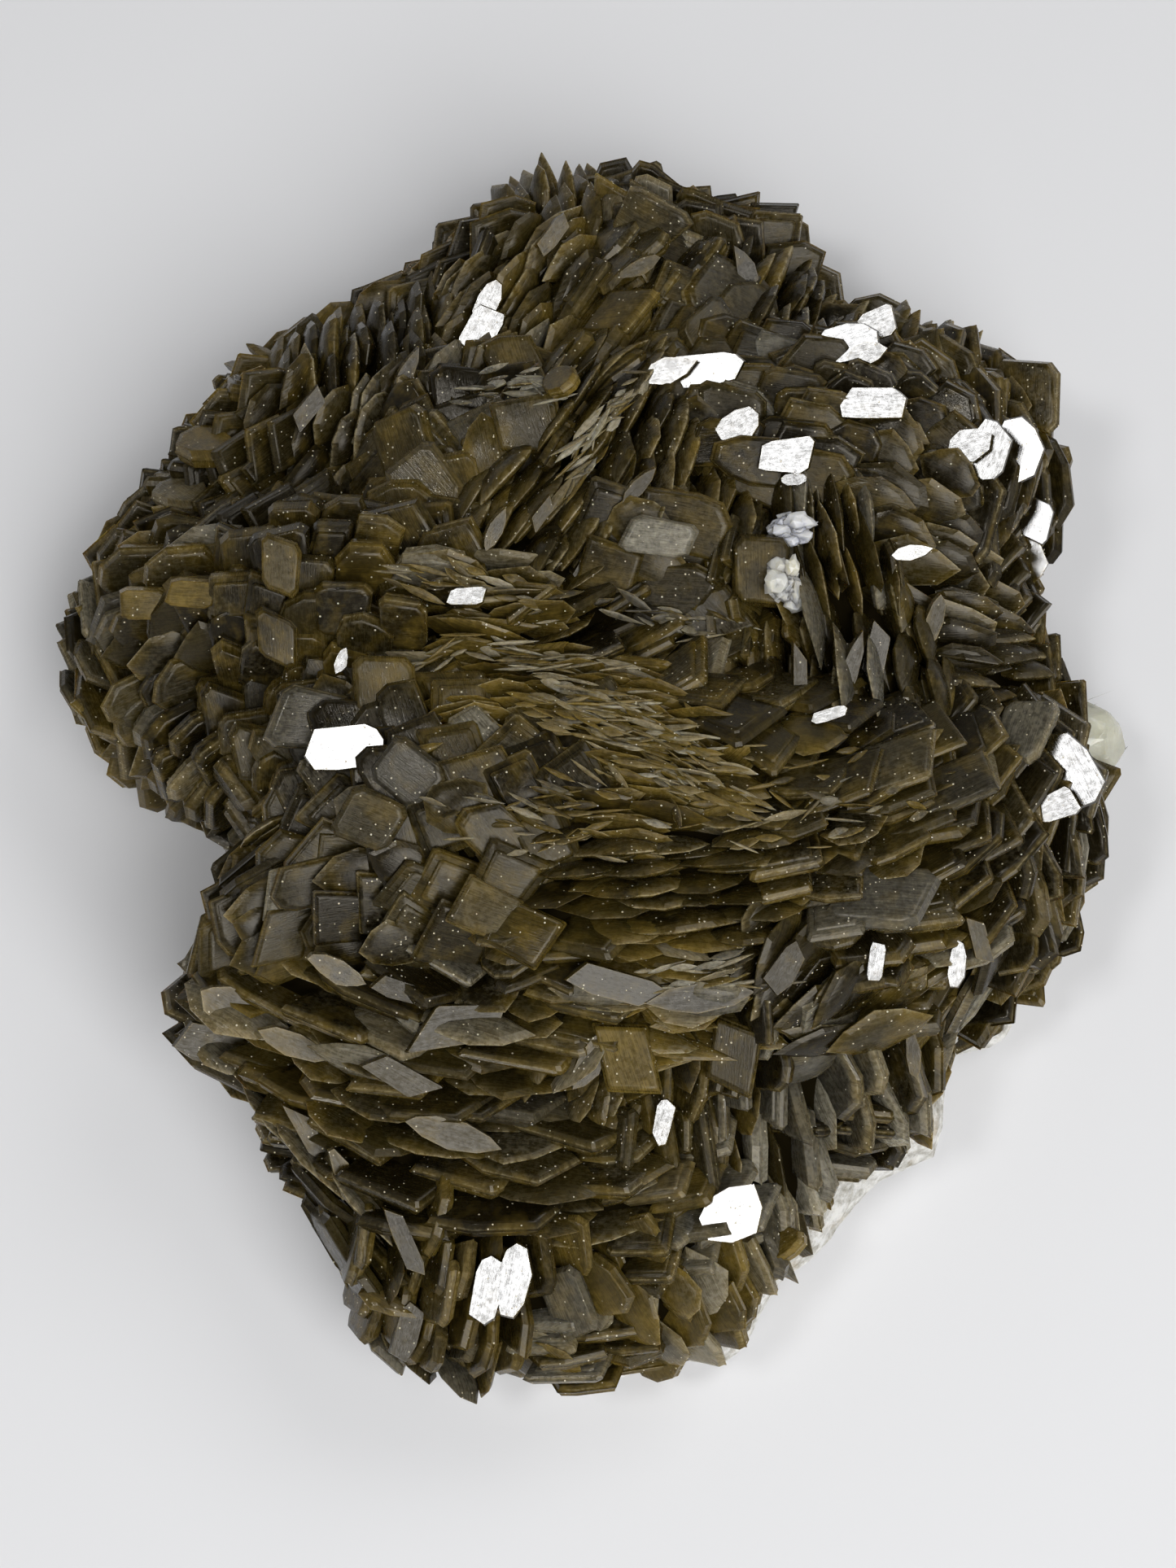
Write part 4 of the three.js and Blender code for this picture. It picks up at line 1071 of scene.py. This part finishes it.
def splinter_crystals():
    """Thin slivers that lie along the body in the broken places."""
    chance = chance_for("splintering")
    rows = []
    for x, y, along, across, heading, count, gold, frost in SPLINTERY:
        turn = math.radians(heading)
        run = np.array([math.cos(turn), math.sin(turn)])
        for _ in range(count):
            spot = np.array([x, y]) + chance.normal(0, along / 2) * run
            spot = spot + chance.normal(0, across / 2) * np.array([-run[1], run[0]])
            middle = over_body(spot[0], spot[1], chance.uniform(*SPLINTER_OVER))
            out = outward(middle[None])[0]
            own_turn = turn + chance.normal(0, SPLINTER_TURNS)
            long_way = np.array([math.cos(own_turn), math.sin(own_turn), 0.0])
            long_way = unit(long_way - (long_way @ out + chance.normal(0, SPLINTER_LIFTS)) * out)
            roll = chance.normal(0, SPLINTER_ROLLS)
            flat = out * math.cos(roll) + np.cross(out, long_way) * math.sin(roll)
            sizes = [chance.uniform(*each) / 2 for each in SPLINTER_SIZES]
            own_gold = np.clip(gold + chance.normal(0, SPLINTER_TONES), 0, MOST_GOLD)
            own_frost = np.clip(frost + chance.normal(0, SPLINTER_TONES), 0, MOST_FROST)
            kind = OUTLINE_NAMES.index("spindle")
            rows.append((middle, axes_of(long_way, flat), sizes, own_gold, kind, own_frost))
    return as_arrays(rows)


def hero_crystals():
    rows = []
    for x, y, over, facing, dip, turn, long, wide, thick, gold, frost, outline in HEROES:
        upward, _, flat = sheaf_frame(facing, dip)
        angle = math.radians(turn)
        long_way = upward * math.cos(angle) + np.cross(flat, upward) * math.sin(angle)
        middle = over_body(x, y, over - HERO_SINK)
        kind = OUTLINE_NAMES.index(outline)
        sizes = [long / 2, wide / 2, thick / 2]
        rows.append((middle, axes_of(long_way, flat), sizes, gold * HERO_GOLD, kind, frost))
    return as_arrays(rows)


def mirror_crystals(table, thick, outlines, light):
    """Plates that lie so that the camera sees a light in them."""
    camera_place, light_place = np.array(stand(*CAMERA)) / MM, np.array(stand(*light)) / MM
    rows = []
    for i, (x, y, over, turn, long, wide) in enumerate(table):
        middle = over_body(x, y, over + MIRROR_RISE - thick / 2)
        flat = unit(unit(camera_place - middle) + unit(light_place - middle))
        level_way = unit(np.cross([0.0, 1.0, 0.0], flat))
        angle = math.radians(turn)
        long_way = level_way * math.cos(angle) + np.cross(flat, level_way) * math.sin(angle)
        kind = OUTLINE_NAMES.index(outlines[i % len(outlines)])
        sizes = [long / 2, wide / 2, thick / 2]
        rows.append((middle, axes_of(long_way, flat), sizes, MIRROR_GOLD, kind, 0.0))
    return as_arrays(rows)


# ---- Pieces ---------------------------------------------------------------------------------------------

CORE_SECTORS = 120
CORE_RINGS = 60

ROCK_INSET = 11  # the crust's side lies this far inside the outer edge, but comes out where it shows
ROCK_SHOWS = 7.8
ROCK_HEIGHT = 11.5
ROCK_CLIMB = 3.5  # how much higher the crust climbs where it shows
ROCK_SECTORS = 220
ROCK_CUTS = 3
ROCK_RIPPLE = 0.7
ROCK_RIPPLES = ((9, 0), (23, 1))  # ripples round the side, and where each starts
ROCK_BUMPS = ((0.5, 0.45), (0.35, 1.3))  # how rough the crust is, and how finely
ROCK_SWELL = 70
ROCK_LIFT = 0.5
ROCK_FOOT = 0.05  # the foot stays smooth up to this share of the height
# The crust from the middle of its underside to the middle of its top: shares of its radius and height.
ROCK_PROFILE = [
    (0, 0), (0.5, 0), (0.94, 0), (0.99, 0.12), (1, 0.35), (0.985, 0.6), (0.95, 0.82), (0.86, 1), (0.45, 1.03),
    (0, 1.03),
]

QUARTZ_AT = (68.6, 5.5, 13)
QUARTZ_SIZE = (12.4, 11.6, 12.2)
QUARTZ_CORNERS = 60
QUARTZ_UNEVEN = (0.88, 1.0)
QUARTZ_ROUNDING = 0.25
QUARTZ_COLOUR = (0.86, 0.85, 0.7)

# Where each white crystal lies, its size, how many grains it has, and its colour.
CALCITES = {
    "calcite_upper": ((26.6, 21.0, 49.0), (6.8, 4.2, 5.6), 14, (0.9, 0.87, 0.8)),
    "calcite_lower": ((25.3, 13.1, 48.8), (5.6, 7.0, 5.4), 14, (0.86, 0.8, 0.64)),
}
CALCITE_BUMPS = 0.7
CALCITE_BUMP_SCALE = 3.1
FIRST_GRAIN = 0.62  # the grain in the middle, and the least and most of the others, as shares of the size
GRAIN_SHARES = (0.3, 0.5)
GRAIN_OFFSET = 0.32
GRAIN_STRETCH = (0.8, 1.25)


def finish_piece(piece, material, node):
    piece.data.materials.append(material)
    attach(piece, BODY)
    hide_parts(node)


def link(name, data):
    """A new object in the scene for a mesh, a camera or a light."""
    item = bpy.data.objects.new(name, data)
    bpy.context.scene.collection.objects.link(item)
    return item


def new_piece(name, bm):
    mesh = bpy.data.meshes.new(name)
    bm.to_mesh(mesh)
    bm.free()
    return link(name, mesh)


def core_piece():
    """The closed mass under the crystals, in even rings from its top to its underside, painted near black as
    the shade in the gaps between them.
    """
    bm = bmesh.new()
    bmesh.ops.create_uvsphere(bm, u_segments=CORE_SECTORS, v_segments=CORE_RINGS, radius=1)
    for vert in bm.verts:
        share = math.acos(max(-1, min(1, abs(vert.co.z)))) / (math.pi / 2)
        turn = math.atan2(vert.co.y, vert.co.x)
        radius = share * float(body_radius(turn))
        x, y = radius * math.cos(turn), radius * math.sin(turn)
        swell = math.sqrt(max(0, 1 - share ** SHOULDER))
        rise = float(heap_height(x, y)) - RIM_HEIGHT if vert.co.z > 0 else UNDERSIDE - RIM_HEIGHT
        vert.co = Vector((x, y, RIM_HEIGHT + swell * rise)) * MM
    return new_piece("siderite_core", bm)


def rock_piece():
    """The white crust that the crystals grew on, flat below and rough round its side."""
    bm = bmesh.new()
    profile = [bm.verts.new((share, 0, height)) for share, height in ROCK_PROFILE]
    edges = [bm.edges.new(pair) for pair in zip(profile, profile[1:])]
    bmesh.ops.subdivide_edges(bm, edges=edges, cuts=ROCK_CUTS, use_grid_fill=False)
    bmesh.ops.spin(bm, geom=bm.verts[:] + bm.edges[:], cent=(0, 0, 0), axis=(0, 0, 1), angle=FULL_TURN,
                   steps=ROCK_SECTORS, use_merge=True)
    bmesh.ops.remove_doubles(bm, verts=bm.verts, dist=1e-5)
    for vert in bm.verts:
        turn = math.atan2(vert.co.y, vert.co.x)
        share = math.hypot(vert.co.x, vert.co.y)
        ripple = sum(math.sin(often * turn + start) for often, start in ROCK_RIPPLES)
        shows = float(rock_reach(turn))
        radius = float(edge_radius(turn)) - ROCK_INSET + ROCK_SHOWS * shows + ROCK_RIPPLE * ripple
        x, y = share * radius * math.cos(turn), share * radius * math.sin(turn)
        z = vert.co.z * (ROCK_HEIGHT + ROCK_CLIMB * shows)
        if vert.co.z > ROCK_FOOT:
            seat = Vector((x, y, z))
            bump = sum(rough * noise.noise(seat * scale) for rough, scale in ROCK_BUMPS)
            out = 1 + bump * share / ROCK_SWELL
            x, y, z = x * out, y * out, z + bump * ROCK_LIFT
        vert.co = Vector((x, y, z)) * MM
    bmesh.ops.recalc_face_normals(bm, faces=bm.faces)
    return new_piece("white_rock_crust", bm)


def quartz_piece():
    """One closed, many-faced lump."""
    chance = chance_for("milky_quartz")
    bm = bmesh.new()
    ways = chance.normal(0, 1, (QUARTZ_CORNERS, 3))
    ways /= np.linalg.norm(ways, axis=1, keepdims=True)
    reach = np.array(QUARTZ_SIZE) / 2 * chance.uniform(*QUARTZ_UNEVEN, (QUARTZ_CORNERS, 1))
    corners = [bm.verts.new(spot) for spot in np.array(QUARTZ_AT) + ways * reach]
    bmesh.ops.convex_hull(bm, input=corners)
    bmesh.ops.delete(bm, geom=[vert for vert in bm.verts if not vert.link_faces], context="VERTS")
    bmesh.ops.bevel(bm, geom=bm.edges[:], offset=QUARTZ_ROUNDING, affect="EDGES", segments=1, profile=0.5,
                    material=-1)
    bmesh.ops.recalc_face_normals(bm, faces=bm.faces)
    bmesh.ops.scale(bm, vec=(MM, MM, MM), verts=bm.verts)
    return new_piece("milky_quartz", bm)


def calcite_piece(name, middle, size, grains):
    """A broken white crust: uneven grains crowded together."""
    chance = chance_for(name)
    bm = bmesh.new()
    for i in range(grains):
        offset = chance.uniform(-GRAIN_OFFSET, GRAIN_OFFSET, 3) * np.array(size) if i else np.zeros(3)
        share = chance.uniform(*GRAIN_SHARES) if i else FIRST_GRAIN
        made = bmesh.ops.create_icosphere(bm, subdivisions=2, radius=0.5)["verts"]
        stretch = np.array(size) * share * chance.uniform(*GRAIN_STRETCH, 3)
        own_noise = Vector((7.0 * i, 0, 0))
        for vert in made:
            swell = 1 + CALCITE_BUMPS * noise.noise(vert.co * CALCITE_BUMP_SCALE + own_noise)
            vert.co = Vector(np.array(vert.co) * stretch * swell + np.array(middle) + offset)
    bmesh.ops.recalc_face_normals(bm, faces=bm.faces)
    bmesh.ops.scale(bm, vec=(MM, MM, MM), verts=bm.verts)
    return new_piece(name + "_grains", bm)


# ---- The cluster put together ---------------------------------------------------------------------------

DUSTED_BELOW = 32  # crystals lower than this beside the bare rock are dusted white
DUSTED_FADE = 10
DUSTED_RANGE = (-1.2, 0.8)
FROSTED_SHARE = 0.05  # this many of all the others are frosted
FROSTED_RANGE = (0.1, 0.4)


def frosts_of(middles):
    """How frosted each of the crystals that grow by rule is."""
    chance = chance_for("frosting")
    count = len(middles)
    chosen = chance.uniform(0, 1, count) < FROSTED_SHARE
    frosts = np.where(chosen, chance.uniform(*FROSTED_RANGE, count), 0)
    by_rock = rock_reach(np.arctan2(middles[:, 1], middles[:, 0]))
    low = np.clip((DUSTED_BELOW - middles[:, 2]) / DUSTED_FADE, 0, 1)
    return np.maximum(frosts, by_rock * low * chance.uniform(*DUSTED_RANGE, count))


def add_siderite():
    shapes = [crystal_shape(name) for name in OUTLINE_NAMES]
    olive = siderite_material("olive_siderite")
    polished = siderite_material("polished_siderite")
    grey = siderite_material("grey_siderite")
    field = grow_crystals()
    field.append(frosts_of(field[0]))
    pointed = np.isin(field[4], [OUTLINE_NAMES.index(name) for name in LENSES])
    glints = mirror_crystals(GLINTS, GLINT_THICK, GLINT_OUTLINES, LEFT_LIGHT)
    greys = mirror_crystals(GREY_FACES, GREY_THICK, GREY_OUTLINES, FRONT_LIGHT)
    for name, material, crystals, form in (
            ("siderite_blades", olive, [values[pointed] for values in field], {}),
            ("siderite_rhombs", olive, [values[~pointed] for values in field], {}),
            ("standing_crystals", olive, hero_crystals(), {}),
            ("mirror_plates", polished, glints, {"bent": MIRROR_BENT, "straight_walls": True}),
            ("grey_plates", grey, greys, {"bent": MIRROR_BENT, "straight_walls": True}),
            ("golden_splinters", olive, splinter_crystals(), {"bent": SPLINTER_BENT})):
        finish_piece(join_crystals(name, shapes, crystals, **form), material, "siderite_crystals")
    # the core is painted near black: painted shade in the gaps between the crystals
    dark = plain_material("painted_gap_shade", PAINTED_GAP_SHADE, roughness=1.0, shine=0.0)
    finish_piece(core_piece(), dark, "siderite_crystals")


def add_other_minerals():
    finish_piece(rock_piece(), rock_material(), "matrix")
    quartz = milky_material("milky_quartz", QUARTZ_COLOUR, clearness=0.5, roughness=0.12)
    finish_piece(quartz_piece(), quartz, "quartz_crystal")
    for name, (middle, size, grains, colour) in CALCITES.items():
        calcite = milky_material(name + "_white", colour, clearness=0.1, roughness=0.4)
        finish_piece(calcite_piece(name, middle, size, grains), calcite, name)


# ---- Stage ----------------------------------------------------------------------------------------------

FOCAL_PIXELS = 3710
PICTURE_HEIGHT = 1927
SENSOR = 36
# Each light's stand, the side of its square in metres, and its power in watts.
LIGHTS = {
    "light_front": (FRONT_LIGHT, 0.8, 12),
    "light_left": (LEFT_LIGHT, 0.22, 3),
    "light_right_back": (BACK_LIGHT, 0.6, 3),
}
SKY_COLOUR = (0.97, 0.98, 1, 1)
SKY_HEIGHT = 0.9
SKY_AT_HORIZON = 0.55
SKY_OVERHEAD = 0.09


def aim(item, place):
    item.location = place
    item.rotation_euler = (TARGET - place).to_track_quat("-Z", "Y").to_euler()


def add_camera():
    data = bpy.data.cameras.new("camera")
    data.sensor_width = SENSOR
    data.lens = FOCAL_PIXELS / PICTURE_HEIGHT * SENSOR
    data.clip_start = 0.01
    camera = link("camera", data)
    aim(camera, stand(*CAMERA))
    bpy.context.scene.camera = camera


def add_lights():
    for name, (place, size, power) in LIGHTS.items():
        data = bpy.data.lights.new(name, "AREA")
        data.shape = "SQUARE"
        data.size = size
        data.energy = power
        aim(link(name, data), stand(*place))


def add_floor():
    bm = bmesh.new()
    bmesh.ops.create_grid(bm, x_segments=1, y_segments=1, size=2)
    floor = new_piece("floor", bm)
    floor.data.materials.append(plain_material("pale_table", PALE_TABLE, roughness=0.7))


def add_sky():
    """A pale room, brighter round the horizon than overhead."""
    world = bpy.data.worlds.new("room")
    world.use_nodes = True
    recipe = Recipe(world.node_tree)
    height = recipe.parts(recipe.add("TexCoord").outputs["Generated"])[2]
    strength = recipe.spread(height, 0.0, SKY_HEIGHT, SKY_AT_HORIZON, SKY_OVERHEAD)
    recipe.give(recipe.nodes["Background"], Strength=strength, Color=SKY_COLOUR)
    bpy.context.scene.world = world


add_siderite()
add_other_minerals()
add_camera()
add_floor()
add_sky()
add_lights()
bpy.context.scene.view_settings.view_transform = "Standard"
